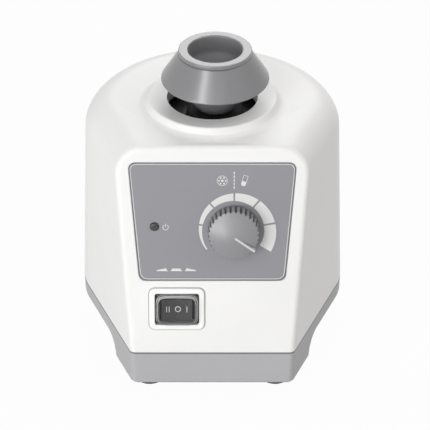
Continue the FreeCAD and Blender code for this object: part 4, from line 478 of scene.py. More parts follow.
# Bearing and drive head: a ball bearing in ground steel, pressed into a black moulded head.
# The rubber shield on the head covers the opening of the hood like a skirt.
RACE_STEEL = (196, 198, 202)
HEAD_BLACK, SHIELD_BLACK = (36, 36, 38), (40, 40, 42)
HEAD_SPOT = (1.364, -2.463)
SHIELD_CORNERS = [(14.03, 114.9), (16.0, 114.9), (17.5, 117.3), (25.0, 116.5), (25.6, 116.5), (25.6, 118.1),
                  (25.0, 118.3), (17.5, 119.2), (15.6, 119.9), (14.03, 119.9), (14.03, 114.9)]
SHIELD_EASE = 0.6
race_finish = metal("ground_steel", RACE_STEEL, rough=0.18, stretch=(1.0, 1.0, 0.05), scratch=2200.0,
                    depth=0.004)
dress(race_finish, "bearing_inner_ring", "bearing_outer_ring", "bearing_balls")
dress(moulded("head_nylon", HEAD_BLACK, grain=1300.0, depth=0.02, rough=0.7, gloss=0.12), "drive_head")
shield_finish = moulded("shield_rubber", SHIELD_BLACK, grain=1000.0, depth=0.03, rough=0.62)
shield_grid = turned(eased(SHIELD_CORNERS, SHIELD_EASE), HEAD_SPOT, around=120)
piece("shield", [shield_grid], AROUND, shield_finish, "head", ["splash_shield"])

# Hood: the white upper half of the case, one ABS moulding with a satin, finely grained skin.
# Four screws hold it from below, and a raised lip runs round its top opening.
HOOD_WHITE = (238, 238, 237)
HOOD_ANGLE = 17
FRONT_Y, FRONT_Z = -66.3, 24.4
FRONT_SIN, FRONT_COS = 0.238533, 0.971134
FRONT_OUT = Vector((0.0, -FRONT_COS, FRONT_SIN))
SWITCH_X, SWITCH_S = -17.0, 22.5
BEZEL_HALF_X, BEZEL_HALF_S, BEZEL_ROUND = 13.25, 10.5, 3.0
GAP_DARK, GAP_END, GAP_SHADOW = 0.15, 0.7, 0.35
FRONT_BEHIND, FRONT_NEAR = -1.0, -0.5


def up_front(place):
    """Distance up the leaning front from the case joint, in metres."""
    return (place.axis("Y") - FRONT_Y * MM) * FRONT_SIN + (place.axis("Z") - FRONT_Z * MM) * FRONT_COS


def out_of_front(place):
    """Distance out of the leaning front, in metres."""
    return (place.axis("Z") - FRONT_Z * MM) * FRONT_SIN - (place.axis("Y") - FRONT_Y * MM) * FRONT_COS


def bezel_gap_shade(place):
    """1 in the gap round the switch bezel, on the front only, where the hood's colour is darkened as a
    painted shadow line.

    The gap is a range of distances from a rectangle with round corners.
    """
    across = place.math("ABSOLUTE", place.axis("X") - SWITCH_X * MM) - (BEZEL_HALF_X - BEZEL_ROUND) * MM
    along = place.math("ABSOLUTE", up_front(place) - SWITCH_S * MM) - (BEZEL_HALF_S - BEZEL_ROUND) * MM
    across = place.math("MAXIMUM", across, 0.0)
    along = place.math("MAXIMUM", along, 0.0)
    far = place.math("SQRT", across * across + along * along) - BEZEL_ROUND * MM
    front = out_of_front(place).between(FRONT_BEHIND * MM, FRONT_NEAR * MM)
    return (1.0 - far.between(GAP_DARK * MM, GAP_END * MM)) * front


# The hood's finish paints a shadow line into the gap round the switch bezel.
hood_finish = moulded("hood_abs", HOOD_WHITE, grain=1700.0, depth=0.02, rough=0.40, shadow_mask=bezel_gap_shade,
                      shadow=GAP_SHADOW)
skinned("upper_housing", "hood_shell", hood_finish, "stand", HOOD_ANGLE, FRONT_OUT)

# Front panel: a sheet of grey polycarbonate, matt on its face and printed from behind, stuck in a recess.
# The print has the speed band, its signs and a pale border line. A dark line just inside its edge is
# painted shade of the gap in the recess.
PANEL_GREY, PANEL_INK, EDGE_SHADE = (141, 140, 145), (221, 222, 220), (104, 104, 108)
PANEL_LOW, PANEL_HIGH = 36.6, 96.1
PANEL_FOOT, PANEL_HEAD, PANEL_ROUND = 35.1, 40.1, 4.6
BORDER_INSET, BORDER_WIDTH = 0.9, 0.3
EDGE_INSET, EDGE_WIDTH = 0.22, 0.45
PRINT_DEPTH = -0.12
NEITHER_WAY = (False, False)


def on_front(x, s, d):
    """Points on the leaning front in metres: x across, s up the slope from the case joint, d out of it."""
    x, s, d = np.broadcast_arrays(np.asarray(x, float), np.asarray(s, float), np.asarray(d, float))
    y = FRONT_Y + s * FRONT_SIN - d * FRONT_COS
    return np.stack([x, y, FRONT_Z + s * FRONT_COS + d * FRONT_SIN], -1) * MM


def bar(x_low, x_high, s_low, s_high):
    """Printed patch between two edges in x and two in s."""
    return on_front([[x_low, x_high]], [[s_low], [s_high]], PRINT_DEPTH)


def band(x, s, inner, outer, first=0.0, last=360.0, steps=32):
    """Printed arc between two radii, which may change along it, from one clockwise angle to another."""
    turn = np.radians(np.linspace(first, last, steps))
    radius = np.stack([np.broadcast_to(inner, turn.shape), np.broadcast_to(outer, turn.shape)])
    return on_front(x + radius * np.sin(turn), s + radius * np.cos(turn), PRINT_DEPTH)


def strip(first, second):
    """Printed strip between two rows of (x, s) points."""
    path = np.stack([first, second])
    return on_front(path[..., 0], path[..., 1], PRINT_DEPTH)


def outline(inset, width):
    """Printed line of a width round the panel, at an inset from its edge, with eased corners."""
    loops = []
    for margin in (inset, inset + width):
        low, high = PANEL_LOW + margin, PANEL_HIGH - margin
        foot, head = PANEL_FOOT - margin, PANEL_HEAD - margin
        corners = [(0.0, low), (foot, low), (head, high), (-head, high), (-foot, low), (0.0, low)]
        loops.append(eased(corners, PANEL_ROUND - margin, steps=10))
    return strip(*loops)


# Speed band: six fields round the knob that grow wider with the speed, and a row of dashes above them.
# It is printed in the pale ink of the panel.
DIAL_X, DIAL_S = 10.1, 62.3
DIAL_MARKS = (-129.0, -80.5, -40.0, 1.0, 39.5, 80.0, 123.0)
DIAL_GAP, DIAL_STEPS = 2.9, 32
DIAL_WIDTH = (-2.0e-5, 0.0225, 3.75)
DIAL_INNER, DIAL_RISE = 14.6, 1.2
RISE_START, RISE_RUN = -40.0, 90.0
DASHES, DASH_LOW, DASH_LENGTH, DASH_PITCH = 5, 82.9, 1.3, 1.8
DASH_LEFT, DASH_RIGHT = 10.1, 10.6
prints = []
for first, last in zip(DIAL_MARKS[:-1], DIAL_MARKS[1:]):
    ends = (first + DIAL_GAP / 2, last - DIAL_GAP / 2)
    turn = np.linspace(*ends, DIAL_STEPS)
    inner = DIAL_INNER + DIAL_RISE * np.clip((RISE_START - turn) / RISE_RUN, 0, 1) ** 2
    outer = inner + np.polyval(DIAL_WIDTH, turn)
    prints.append(band(DIAL_X, DIAL_S, inner, outer, *ends, DIAL_STEPS))
for dash_low in DASH_LOW + DASH_PITCH * np.arange(DASHES):
    prints.append(bar(DASH_LEFT, DASH_RIGHT, dash_low, dash_low + DASH_LENGTH))

# Signs of the panel: a round plate with six wells and a tube over the band, three signs over the switch
# and a standby sign beside the lamp. They are printed with the band, and so is the border line.
PLATE_X, PLATE_S = 4.7, 86.9
PLATE_RIM_INNER, PLATE_RIM_OUTER, PLATE_HUB = 2.28, 2.52, 0.62
WELL_RING, WELL_RADIUS = 1.6, 0.42
WELL_TURNS = np.radians(np.arange(30, 390, 60))
TUBE_X, TUBE_S, TUBE_LOW = 15.2, 86.9, -1.6
TUBE_LEAN = math.radians(16)
TUBE_HALF, TUBE_TOP, TUBE_WALL, TUBE_STEPS = 1.15, 2.7, 0.23, 17
FILL_HALF, FILL_TOP = 0.95, -0.35
SIGN_S, SIGN_HALF, SIGN_BAR, WEDGE_HALF = 41.6, 2.65, 0.45, 2.1
SWITCH_SIGNS = ((-24.0, 0.15, 1.05), (-17.2, 0.85, 0.85), (-10.4, 1.05, 0.15))
STANDBY_X, STANDBY_S, STANDBY_OPEN = -22.2, 63.7, 32.0
STANDBY_INNER, STANDBY_OUTER = 1.15, 1.45
STROKE_HALF, STROKE_LOW, STROKE_HIGH = 0.15, 0.1, 1.8


def tube_loop(half, top):
    """Outline of a leaning tube with a round end: up a side, over the top, down the other, round below."""
    turn = np.linspace(0, np.pi, TUBE_STEPS)
    across = np.concatenate([[half, half, 0.0, -half, -half], -half * np.cos(turn)])
    along = np.concatenate([[TUBE_LOW, top, top, top, TUBE_LOW], TUBE_LOW - half * np.sin(turn)])
    x = TUBE_X + across * math.cos(TUBE_LEAN) + along * math.sin(TUBE_LEAN)
    s = TUBE_S - across * math.sin(TUBE_LEAN) + along * math.cos(TUBE_LEAN)
    return np.stack([x, s], -1)


prints.append(band(PLATE_X, PLATE_S, PLATE_RIM_INNER, PLATE_RIM_OUTER, steps=48))
prints.append(band(PLATE_X, PLATE_S, 0.0, PLATE_HUB, steps=17))
for turn in WELL_TURNS:
    well_x = PLATE_X + WELL_RING * np.sin(turn)
    well_s = PLATE_S + WELL_RING * np.cos(turn)
    prints.append(band(well_x, well_s, 0.0, WELL_RADIUS, steps=13))
prints.append(strip(tube_loop(TUBE_HALF, TUBE_TOP), tube_loop(TUBE_HALF - TUBE_WALL, TUBE_TOP - TUBE_WALL)))
tube_fill = tube_loop(FILL_HALF, FILL_TOP)
prints.append(strip(tube_fill, np.broadcast_to(tube_fill.mean(0), tube_fill.shape)))
for middle, rise_left, rise_right in SWITCH_SIGNS:
    prints.append(bar(middle - SIGN_HALF, middle + SIGN_HALF, SIGN_S, SIGN_S + SIGN_BAR))
    wedge = SIGN_S + SIGN_BAR + np.array([[0.0, 0.0], [rise_left, rise_right]])
    prints.append(on_front([[middle - WEDGE_HALF, middle + WEDGE_HALF]], wedge, PRINT_DEPTH))
prints.append(band(STANDBY_X, STANDBY_S, STANDBY_INNER, STANDBY_OUTER, STANDBY_OPEN, 360 - STANDBY_OPEN))
standby_ends = (STANDBY_S + STROKE_LOW, STANDBY_S + STROKE_HIGH)
prints.append(bar(STANDBY_X - STROKE_HALF, STANDBY_X + STROKE_HALF, *standby_ends))
prints.append(outline(BORDER_INSET, BORDER_WIDTH))
ink_finish = moulded("panel_ink", PANEL_INK, grain=900.0, depth=0.004, rough=0.5)
piece("panel_print", prints, NEITHER_WAY, ink_finish, "stand", facing=FRONT_OUT)
# Painted shade: a dark line just inside the panel's edge stands for the shade in the gap of its recess.
edge_grid = outline(EDGE_INSET, EDGE_WIDTH)
edge_finish = moulded("panel_edge_shade", EDGE_SHADE, grain=900.0, depth=0.004, rough=0.5)
piece("panel_edge", [edge_grid], NEITHER_WAY, edge_finish, "stand", facing=FRONT_OUT)
dress(moulded("panel_film", PANEL_GREY, grain=2000.0, depth=0.012, rough=0.46), "front_panel")

# Power lamp: a small domed lens of smoked acrylic in a hole of the panel, over a lamp on the board.
# A black moulded spacer holds it off the board.
LENS_DARK, LENS_LIGHT = (50, 50, 48), (62, 61, 59)
LENS_SCALE, LENS_DULL, LENS_ROUGH = 1400.0, 0.2, 0.12
CASE_BLACK = (38, 38, 40)
lens_finish, lens_shader, lens_place = new_finish("smoked_lens")
lens_cells = lens_place.node("ShaderNodeTexVoronoi", None, {"Vector": lens_place, "Scale": LENS_SCALE})
lens_cells.mix(shade(*LENS_DARK), shade(*LENS_LIGHT)).feed(lens_shader, "Base Color")
(lens_cells * LENS_DULL + LENS_ROUGH).feed(lens_shader, "Roughness")
lens_cells.bump(depth=0.01, strength=0.4).feed(lens_shader, "Normal")
dress(lens_finish, "lamp_lens")
black_finish = moulded("black_abs", CASE_BLACK, grain=1500.0, depth=0.02, rough=0.45)
dress(black_finish, "lamp_spacer")

# Rocker switch: a black case with brass blades snaps into a white bezel in the hood's front.
# The rocker turns on a pin, and its strokes and ring are printed on its hollow face.
BEZEL_WHITE, ROCKER_BLACK, MARK_INK = (246, 246, 245), (34, 34, 36), (196, 196, 195)
STAMPED_BRASS = (196, 164, 98)
ROCKER_REACH = np.array([-7.5, -4.0, 0.0, 4.0, 7.5])
ROCKER_FACE = np.array([1.6, 0.85, 0.6, 0.85, 1.6])
MARK_LIFT = 0.03
MARK_STROKES, MARK_HALF_X, MARK_HALF_S = (-4.9, -3.7, 4.8), 0.17, 1.5
MARK_RING_X, MARK_RING, MARK_STEPS = 0.5, np.array([[1.05], [1.45]]), 33


def on_rocker(x, s):
    """Points just over the rocker's hollow face, x and s from its middle: depth is read off its profile."""
    x, s = np.broadcast_arrays(np.asarray(x, float), np.asarray(s, float))
    return on_front(SWITCH_X + x, SWITCH_S + s, np.interp(x, ROCKER_REACH, ROCKER_FACE) + MARK_LIFT)


dress(moulded("bezel_abs", BEZEL_WHITE, grain=1700.0, depth=0.015, rough=0.35), "switch_bezel")
dress(black_finish, "switch_body")
dress(moulded("rocker_nylon", ROCKER_BLACK, grain=5200.0, depth=0.002, rough=0.24), "switch_rocker")
brass_finish = metal("stamped_brass", STAMPED_BRASS, rough=0.30, stretch=(1.0, 1.0, 0.1), scratch=1500.0)
dress(brass_finish, "switch_terminals")
marks = []
for stroke in MARK_STROKES:
    marks.append(on_rocker([[stroke - MARK_HALF_X, stroke + MARK_HALF_X]], [[-MARK_HALF_S], [MARK_HALF_S]]))
turn = np.linspace(0, 2 * np.pi, MARK_STEPS)
marks.append(on_rocker(MARK_RING_X + MARK_RING * np.sin(turn), MARK_RING * np.cos(turn)))
mark_finish = moulded("rocker_ink", MARK_INK, grain=900.0, depth=0.004, rough=0.5)
piece("rocker_marks", marks, NEITHER_WAY, mark_finish, "rocker", facing=FRONT_OUT)

# Switch boot: a soft clear cover over the rocker that keeps drips out, seated in the bezel's opening.
# It is moulded in silicone, which is nearly clear. Whitish lines at its foot, its fold and its brow are
# painted highlights of its edges.
BOOT_WHITE = (232, 234, 234)
BOOT_HALF_X, BOOT_HALF_S, BOOT_SHARPNESS = 10.2, 7.5, 5.5
BOOT_OUTSIDE = [(1.0, -0.6), (0.985, 3.0), (0.93, 5.0), (0.0, 5.0)]
BOOT_INSIDE = [(0.0, 4.3), (0.86, 4.3), (0.915, 3.0), (0.93, -0.6)]
BOOT_OUT_EASE, BOOT_IN_EASE = np.array([0.05, 1.6]), np.array([1.4, 0.05])
BOOT_FOOT_LOW, BOOT_FOOT_HIGH = -0.4, 0.5
BROW_RISE, BROW_FALL = (2.4, 2.9), (3.5, 4.0)
FOLD_RISE, FOLD_FALL = (0.9, 1.2), (1.5, 1.8)
FOOT_HIGHLIGHT, BROW_HIGHLIGHT, FOLD_HIGHLIGHT, CLOUD_HAZE, LEAST_HAZE = 0.20, 0.70, 0.80, 0.015, 0.01
CLOUD_SCALE, CLOUD_DULL, BOOT_ROUGH = 160.0, 0.08, 0.08


def boot_skin(around=96):
    """Closed shell over the rocker: the loop |x/a|^n + |s/b|^n = 1, shrunk by a share at each depth.

    The shares and depths are the points of its section, up the outside and down the inside.
    """
    outside = eased(BOOT_OUTSIDE, BOOT_OUT_EASE, steps=8)
    inside = eased(BOOT_INSIDE, BOOT_IN_EASE, steps=8)
    section = np.vstack([outside, inside])
    share, depth = section[:, :1], section[:, 1:]
    turn = np.linspace(0, 2 * np.pi, around, endpoint=False)
    x = BOOT_HALF_X * np.sign(np.cos(turn)) * np.abs(np.cos(turn)) ** (2 / BOOT_SHARPNESS)
    s = BOOT_HALF_S * np.sign(np.sin(turn)) * np.abs(np.sin(turn)) ** (2 / BOOT_SHARPNESS)
    return on_front(SWITCH_X + share * x, SWITCH_S + share * s, depth)


def boot_line(lift, rise, fall):
    """1 between two heights over the front, in mm, with a smooth step up over rise and down over fall."""
    up = lift.between(rise[0] * MM, rise[1] * MM)
    return up * (1.0 - lift.between(fall[0] * MM, fall[1] * MM))


boot_finish, boot_shader, boot_place = new_finish("clear_silicone")
boot_cloud = boot_place.noise(CLOUD_SCALE)
boot_lift = out_of_front(boot_place)
boot_foot = 1.0 - boot_lift.between(BOOT_FOOT_LOW * MM, BOOT_FOOT_HIGH * MM)
boot_brow = boot_line(boot_lift, BROW_RISE, BROW_FALL)
boot_fold = boot_line(boot_lift, FOLD_RISE, FOLD_FALL)
# Painted highlights: the alpha rises to whitish lines at the foot, fold and brow, over a faint random haze.
boot_haze_and_highlights = boot_cloud * CLOUD_HAZE + boot_foot * FOOT_HIGHLIGHT + boot_brow * BROW_HIGHLIGHT + boot_fold * FOLD_HIGHLIGHT
boot_shader.inputs["Base Color"].default_value = shade(*BOOT_WHITE)
(boot_haze_and_highlights + LEAST_HAZE).feed(boot_shader, "Alpha")
(boot_cloud * CLOUD_DULL + BOOT_ROUGH).feed(boot_shader, "Roughness")
boot_cloud.bump(depth=0.15, strength=0.3).feed(boot_shader, "Normal")
piece("boot", [boot_skin()], BOTH_WAYS, boot_finish, "stand", ["switch_boot"], angle=60)

# Speed control: a potentiometer on the board, clamped to the hood by its nut.
# Its knob is a grey moulding with a fluted grip, a domed face and a raised white pointer.
KNOB_DARK, KNOB_LIGHT, KNOB_SHADOW = (129, 129, 131), (136, 136, 138), (30, 30, 32)
POINTER_WHITE = (200, 200, 198)
PHENOLIC = (70, 62, 52)
SPINDLE_STEEL = (188, 189, 191)
KNOB_FLUTES, FLUTE_STEPS = 30, 12
FLUTE_ROOT, FLUTE_TIP = 11.2, 12.4
GRIP_START, GRIP_RUN = 1.9, 0.5
POINTER_TURN = math.radians(125)
KNOB_CORNERS = [(0.0, 7.0), (3.03, 7.0), (3.03, 4.05), (8.0, 4.05), (8.0, 0.45), (12.3, 0.45), (12.3, 1.95),
                (11.95, 7.95), (11.75, 8.25)]
KNOB_EASE = np.array([0.05, 0.05, 0.05, 0.3, 0.3, 0.4, 0.15])
KNOB_FACE, KNOB_DOME, KNOB_TOP, DOME_STEPS = 11.75, 2.8, 11.05, 24
VALLEY_EDGE, VALLEY_FLOOR = -0.3, 0.6
WALL_TOP, FACE_EDGE = 7.5, 8.1
SKIRT_LOW, SKIRT_HIGH = 0.8, 4.0
VALLEY_SHADOW, SKIRT_SHADOW = 0.75, 0.2
KNOB_GRAIN, KNOB_DULL, WALL_DULL, KNOB_ROUGH = 1300.0, 0.10, 0.2, 0.33
KNOB_GLOSS = 0.9


def fluted(corners, ease):
    """Turned profile under a dome, cut by a fluted cylinder: r = min(r, tip - (tip - root) w).

    w = ((1 + cos n a) / 2)^2 is deepest in line with the pointer, and the flutes run out above the skirt.
    The dome's height falls with the square of the radius.
    """
    face = np.linspace(KNOB_FACE, 0, DOME_STEPS)[:, None]
    dome = np.hstack([face, KNOB_TOP - KNOB_DOME * (face / KNOB_FACE) ** 2])
    profile = np.vstack([eased(corners, ease, steps=7)[:-1], dome])
    angle = np.linspace(0, 2 * np.pi, KNOB_FLUTES * FLUTE_STEPS, endpoint=False)[None, :]
    radius, depth = profile[:, :1], profile[:, 1:]
    wave = ((1 + np.cos(KNOB_FLUTES * (angle - POINTER_TURN))) / 2) ** 2
    grip = np.clip((depth - GRIP_START) / GRIP_RUN, 0, 1)
    radius = np.minimum(radius, FLUTE_TIP - (FLUTE_TIP - FLUTE_ROOT) * grip * wave)
    return on_front(DIAL_X + radius * np.sin(angle), DIAL_S + radius * np.cos(angle), depth)


knob_finish, knob_shader, knob_place = new_finish("knob_abs")
knob_x = knob_place.axis("X") - DIAL_X * MM
knob_lift = out_of_front(knob_place)
knob_turn = knob_place.math("ARCTAN2", knob_x, up_front(knob_place) - DIAL_S * MM)
knob_wave = knob_place.math("COSINE", (knob_turn - POINTER_TURN) * float(KNOB_FLUTES))
knob_valley = knob_wave.between(VALLEY_EDGE, VALLEY_FLOOR)
knob_wall = 1.0 - knob_lift.between(WALL_TOP * MM, FACE_EDGE * MM)
knob_low = 1.0 - knob_lift.between(SKIRT_LOW * MM, SKIRT_HIGH * MM)
knob_skin = knob_place.noise(KNOB_GRAIN)
knob_tone = knob_skin.mix(shade(*KNOB_DARK), shade(*KNOB_LIGHT))
# Painted shade: the flute valleys in the wall and the foot of the skirt are darkened towards a shadow grey.
knob_shade_mask = knob_wall * knob_valley * VALLEY_SHADOW + knob_low * SKIRT_SHADOW
knob_shade_mask.mix(knob_tone, shade(*KNOB_SHADOW)).feed(knob_shader, "Base Color")
(knob_skin * KNOB_DULL + knob_wall * WALL_DULL + KNOB_ROUGH).feed(knob_shader, "Roughness")
knob_skin.bump(depth=0.012, strength=0.5).feed(knob_shader, "Normal")
knob_shader.inputs["Specular IOR Level"].default_value = KNOB_GLOSS
knob_grid = fluted(KNOB_CORNERS, KNOB_EASE)
piece("knob", [knob_grid], AROUND, knob_finish, "speed_control", ["speed_knob"], angle=30)
dress(moulded("pointer_paint", POINTER_WHITE, grain=1200.0, depth=0.006, rough=0.45), "knob_pointer")
dress(moulded("pot_phenolic", PHENOLIC, grain=900.0, depth=0.03, rough=0.5), "potentiometer_body")
dress(zinc_finish, "potentiometer_nut")
spindle_finish = metal("spindle_steel", SPINDLE_STEEL, rough=0.3, stretch=(0.1, 1.0, 1.0), scratch=1600.0)
dress(spindle_finish, "potentiometer_spindle")

# Mains inlet: a black moulded appliance socket with three plated pins, screwed to the back of the hood.
# Its flange sits in a flat on the curved back.
INLET_BLACK = (34, 34, 36)
PIN_PLATING = (204, 200, 188)
dress(moulded("inlet_nylon", INLET_BLACK, grain=1400.0, depth=0.025, rough=0.48), "mains_inlet")
dress(metal("plated_pins", PIN_PLATING, rough=0.26, stretch=(1.0, 0.08, 1.0), scratch=1500.0), "inlet_pins")
dress(steel_finish, "inlet_screws")

# Control board: a glass-fibre board under green solder mask, on nylon spacers behind the panel.
# It carries the triac on its finned aluminium sink, a film capacitor and a glass fuse in brass clips.
BOARD_GREEN, TRACK_GREEN = (18, 74, 44), (66, 138, 84)
ALUMINIUM = (198, 200, 203)
EPOXY_BLACK, CAPACITOR_YELLOW = (36, 36, 37), (214, 172, 52)
FUSE_GLASS, FUSE_NICKEL = (206, 214, 214), (204, 198, 182)
TRACK_SCALE, TRACK_ORDER, WEAVE_SCALE = 260.0, 0.35, 2200.0
TRACK_EDGE, TRACK_END = 0.05, 0.09
TRACK_TONE, WEAVE_TONE, WEAVE_RISE = 0.75, 0.25, 0.2
WEAVE_DULL, MASK_ROUGH = 0.12, 0.28
FUSE_CAP = 5.0 * MM
FUSE_FADE = FUSE_CAP * 1.05
FUSE_SCALE, FUSE_DULL, CAP_DULL, GLASS_ROUGH = 400.0, 0.1, 0.16, 0.05
board_finish, board_shader, board_place = new_finish("green_board")
board_inputs = {"Vector": board_place, "Scale": TRACK_SCALE, "Randomness": TRACK_ORDER}
board_cells = board_place.node("ShaderNodeTexVoronoi", {"feature": "DISTANCE_TO_EDGE"}, board_inputs)
tracks = 1.0 - board_cells.between(TRACK_EDGE, TRACK_END)
weave = board_place.noise(WEAVE_SCALE, detail=1.0)
board_tone = tracks * TRACK_TONE + weave * WEAVE_TONE
board_tone.mix(shade(*BOARD_GREEN), shade(*TRACK_GREEN)).feed(board_shader, "Base Color")
(weave * WEAVE_DULL + MASK_ROUGH).feed(board_shader, "Roughness")
(tracks + weave * WEAVE_RISE).bump(depth=0.05, strength=0.6).feed(board_shader, "Normal")
dress(board_finish, "control_board")
dress(nylon_finish, "board_spacers")
dress(steel_finish, "board_screws")
sink_finish = metal("extruded_aluminium", ALUMINIUM, rough=0.36, stretch=(1.0, 0.05, 0.05), scratch=1500.0)
dress(sink_finish, "heatsink")
dress(moulded("triac_epoxy", EPOXY_BLACK, grain=1800.0, depth=0.03, rough=0.55), "triac")
shell_finish = moulded("capacitor_shell", CAPACITOR_YELLOW, grain=900.0, depth=0.03, rough=0.4)
dress(shell_finish, "suppression_capacitor")
fuse_finish, fuse_shader, fuse_place = new_finish("fuse_glass_and_caps")
fuse_low, fuse_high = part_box("glass_fuse")
fuse_along = fuse_place.axis("X")
left_cap = 1.0 - fuse_along.between(fuse_low.x + FUSE_CAP, fuse_low.x + FUSE_FADE)
right_cap = fuse_along.between(fuse_high.x - FUSE_FADE, fuse_high.x - FUSE_CAP)
caps = left_cap + right_cap
fuse_cloud = fuse_place.noise(FUSE_SCALE, detail=2.0)
caps.mix(shade(*FUSE_GLASS), shade(*FUSE_NICKEL)).feed(fuse_shader, "Base Color")
caps.feed(fuse_shader, "Metallic")
(fuse_cloud * FUSE_DULL + caps * CAP_DULL + GLASS_ROUGH).feed(fuse_shader, "Roughness")
dress(fuse_finish, "glass_fuse")
dress(brass_finish, "fuse_clips")

# Microswitch: a small black switch on the ballast with brass tabs and a sprung steel lever.
# The carriage pushes the lever down when a tube is pressed into the cup.
dress(black_finish, "microswitch")
dress(brass_finish, "microswitch_tabs")
dress(steel_finish, "microswitch_lever")

# Cup: the tube holder, a turned form in grey rubber with a wide sloping skirt and a dished bore.
# Its socket pushes over the drive head, so it lifts off for cleaning.
CUP_GREY = (120, 120, 122)
CUP_CORNERS = [(0.0, 137.0), (5.03, 137.0), (5.03, 125.1), (9.4, 125.1), (14.5, 133.7), (24.25, 138.7),
               (26.25, 140.3), (17.7, 153.8), (17.3, 154.0), (17.6, 154.3), (17.6, 156.0), (13.0, 156.0),
               (13.0, 147.0), (9.75, 143.4), (5.2, 141.48), (0.0, 141.0)]
CUP_EASE = np.array([0.2, 0.3, 0.6, 2.0, 0.9, 0.9, 0.15, 0.15, 0.15, 0.6, 0.9, 1.5, 1.5, 1.5])
CUP_SHADOW, CUP_GLOSS = 0.55, 1.0
RIM_GROOVE, GROOVE_CORE, GROOVE_END = 153.9, 0.1, 0.4
GROOVE_INSIDE, GROOVE_FADE = (16.5 * MM) ** 2, 1.02
BORE_EDGE, BORE_END = (13.0 * MM) ** 2, (13.6 * MM) ** 2
BORE_LOW, BORE_FLOOR = 140.0, 140.5


def from_axis(place):
    """Square of the distance from the head's upright axis, in square metres."""
    across = place.axis("X") - HEAD_SPOT[0] * MM
    along = place.axis("Y") - HEAD_SPOT[1] * MM
    return across * across + along * along


def rim_groove_shade(place):
    """1 in the groove under the cup's rim: a narrow range of heights, outside the bore, where the cup's
    colour is darkened as a painted shadow line.
    """
    outside = from_axis(place).between(GROOVE_INSIDE, GROOVE_INSIDE * GROOVE_FADE)
    far = place.math("ABSOLUTE", place.axis("Z") - RIM_GROOVE * MM)
    return (1.0 - far.between(GROOVE_CORE * MM, GROOVE_END * MM)) * outside


def cup_bore(place):
    """1 inside the bore, where wiping doesn't reach and the rubber stays dull."""
    inside = 1.0 - from_axis(place).between(BORE_EDGE, BORE_END)
    return inside * place.axis("Z").between(BORE_LOW * MM, BORE_FLOOR * MM)


cup_finish = moulded("cup_rubber", CUP_GREY, grain=5200.0, depth=0.0015, rough=0.26, shadow_mask=rim_groove_shade,
                     shadow=CUP_SHADOW, gloss=CUP_GLOSS, hollow=cup_bore)
cup_grid = turned(eased(CUP_CORNERS, CUP_EASE, steps=9), HEAD_SPOT, around=160)
piece("tube_cup", [cup_grid], AROUND, cup_finish, "tube_holder", ["cup"], angle=50)

# Stage: a white floor that keeps the object's shadow, under soft light from the front left and above.
# The camera stands where the photographer's did, with a long lens.
WHITE = (1.0, 1.0, 1.0, 1.0)
FLOOR_GREY = (0.5, 0.5, 0.5, 1.0)
FLOOR_HALF, FLOOR_GLOW, FLOOR_ROUGH = 6.0, 0.97, 0.9
AMBIENT = 0.34
LAMP_AIM = Vector((0.0, 0.0, 0.08))
ROSE = (1.0, 0.86, 0.86)
CAMERA_SPOT = (0.00127, -1.1409, 0.7851)
CAMERA_DOWN = 32.41
CAMERA_LENS, CAMERA_FILM = 228.3, 36.0


def seen_rays(tree):
    """1 for rays from the camera and for those that a mirror or glass sends on."""
    path = tree.nodes.new("ShaderNodeLightPath").outputs
    camera_ray = Field(tree, path["Is Camera Ray"])
    glossy_ray = Field(tree, path["Is Glossy Ray"])
    glass_ray = Field(tree, path["Is Transmission Ray"])
    return camera_ray.math("MAXIMUM", camera_ray, camera_ray.math("MAXIMUM", glossy_ray, glass_ray))


def soft_light(name, spot, width, height, level, colour=WHITE[:3], mirrored=True):
    """Flat lamp aimed at the mixer: a level of 1 lights a face that looks at it to its full colour."""
    lamp = bpy.data.lights.new(name, "AREA")
    lamp.shape = "RECTANGLE"
    lamp.size = width
    lamp.size_y = height
    aim = LAMP_AIM - Vector(spot)
    lamp.energy = level * math.pi ** 2 * aim.length ** 2
    lamp.color = colour
    made = bpy.data.objects.new(name, lamp)
    made.visible_glossy = mirrored
    made.location = spot
    made.rotation_euler = aim.to_track_quat("-Z", "Y").to_euler()
    scene.collection.objects.link(made)


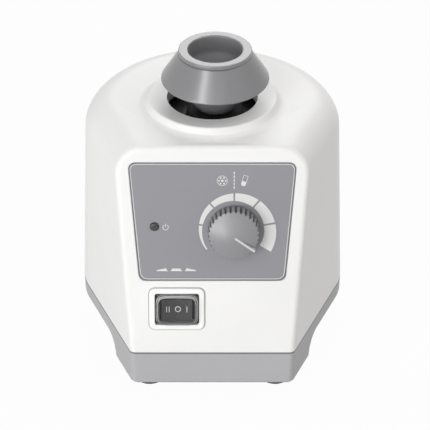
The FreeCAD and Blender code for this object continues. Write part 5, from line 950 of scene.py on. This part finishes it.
floor_mesh = bpy.data.meshes.new("floor")
floor_corners = [(-FLOOR_HALF, -FLOOR_HALF, 0), (FLOOR_HALF, -FLOOR_HALF, 0), (FLOOR_HALF, FLOOR_HALF, 0),
                 (-FLOOR_HALF, FLOOR_HALF, 0)]
floor_mesh.from_pydata(floor_corners, [], [(0, 1, 2, 3)])
floor = bpy.data.objects.new("floor", floor_mesh)
scene.collection.objects.link(floor)
floor_finish, floor_shader, floor_place = new_finish("white_floor")
floor_shader.inputs["Base Color"].default_value = FLOOR_GREY
floor_shader.inputs["Roughness"].default_value = FLOOR_ROUGH
floor_tree = floor_finish.node_tree
floor_skin = Field(floor_tree, floor_shader.outputs[0])
floor_seen = seen_rays(floor_tree) * FLOOR_GLOW
glow = floor_place.node("ShaderNodeEmission", None, {"Color": WHITE, "Strength": 1.0})
floor_mix = floor_place.node("ShaderNodeMixShader", None, {0: floor_seen, 1: floor_skin, 2: glow})
floor_tree.links.new(floor_mix.socket, floor_tree.nodes["Material Output"].inputs["Surface"])
floor_mesh.materials.append(floor_finish)

world = bpy.data.worlds.new("studio")
scene.world = world
world.use_nodes = True
sky = world.node_tree.nodes["Background"]
sky.inputs["Color"].default_value = WHITE
(seen_rays(world.node_tree) * (1.0 - AMBIENT) + AMBIENT).feed(sky, "Strength")

soft_light("left_low", (-0.95, -0.95, 0.25), width=0.3, height=0.3, level=0.19)
soft_light("front_low", (-0.42, -1.15, 0.17), width=0.3, height=0.26, level=0.11)
soft_light("front_strip", (-0.50, -1.02, 0.62), width=0.6, height=1.1, level=0.17)
soft_light("front_core", (-0.55, -0.99, 0.62), width=0.22, height=1.1, level=0.23)
soft_light("front", (0.1, -1.9, 0.75), width=1.2, height=1.2, level=0.06)
soft_light("right_high", (1.3, -0.5, 1.0), width=0.8, height=0.8, level=0.09, colour=ROSE, mirrored=False)
soft_light("right_top", (1.0, 0.4, 1.5), width=1.2, height=1.2, level=0.19)
soft_light("behind", (0.15, 1.5, 1.1), width=1.3, height=0.9, level=0.32)

view = bpy.data.cameras.new("photo_view")
view.lens = CAMERA_LENS
view.sensor_width = CAMERA_FILM
camera = bpy.data.objects.new("photo_view", view)
camera.location = CAMERA_SPOT
camera.rotation_euler = (math.radians(90 - CAMERA_DOWN), 0.0, 0.0)
scene.collection.objects.link(camera)
scene.camera = camera
scene.view_settings.view_transform = "Standard"
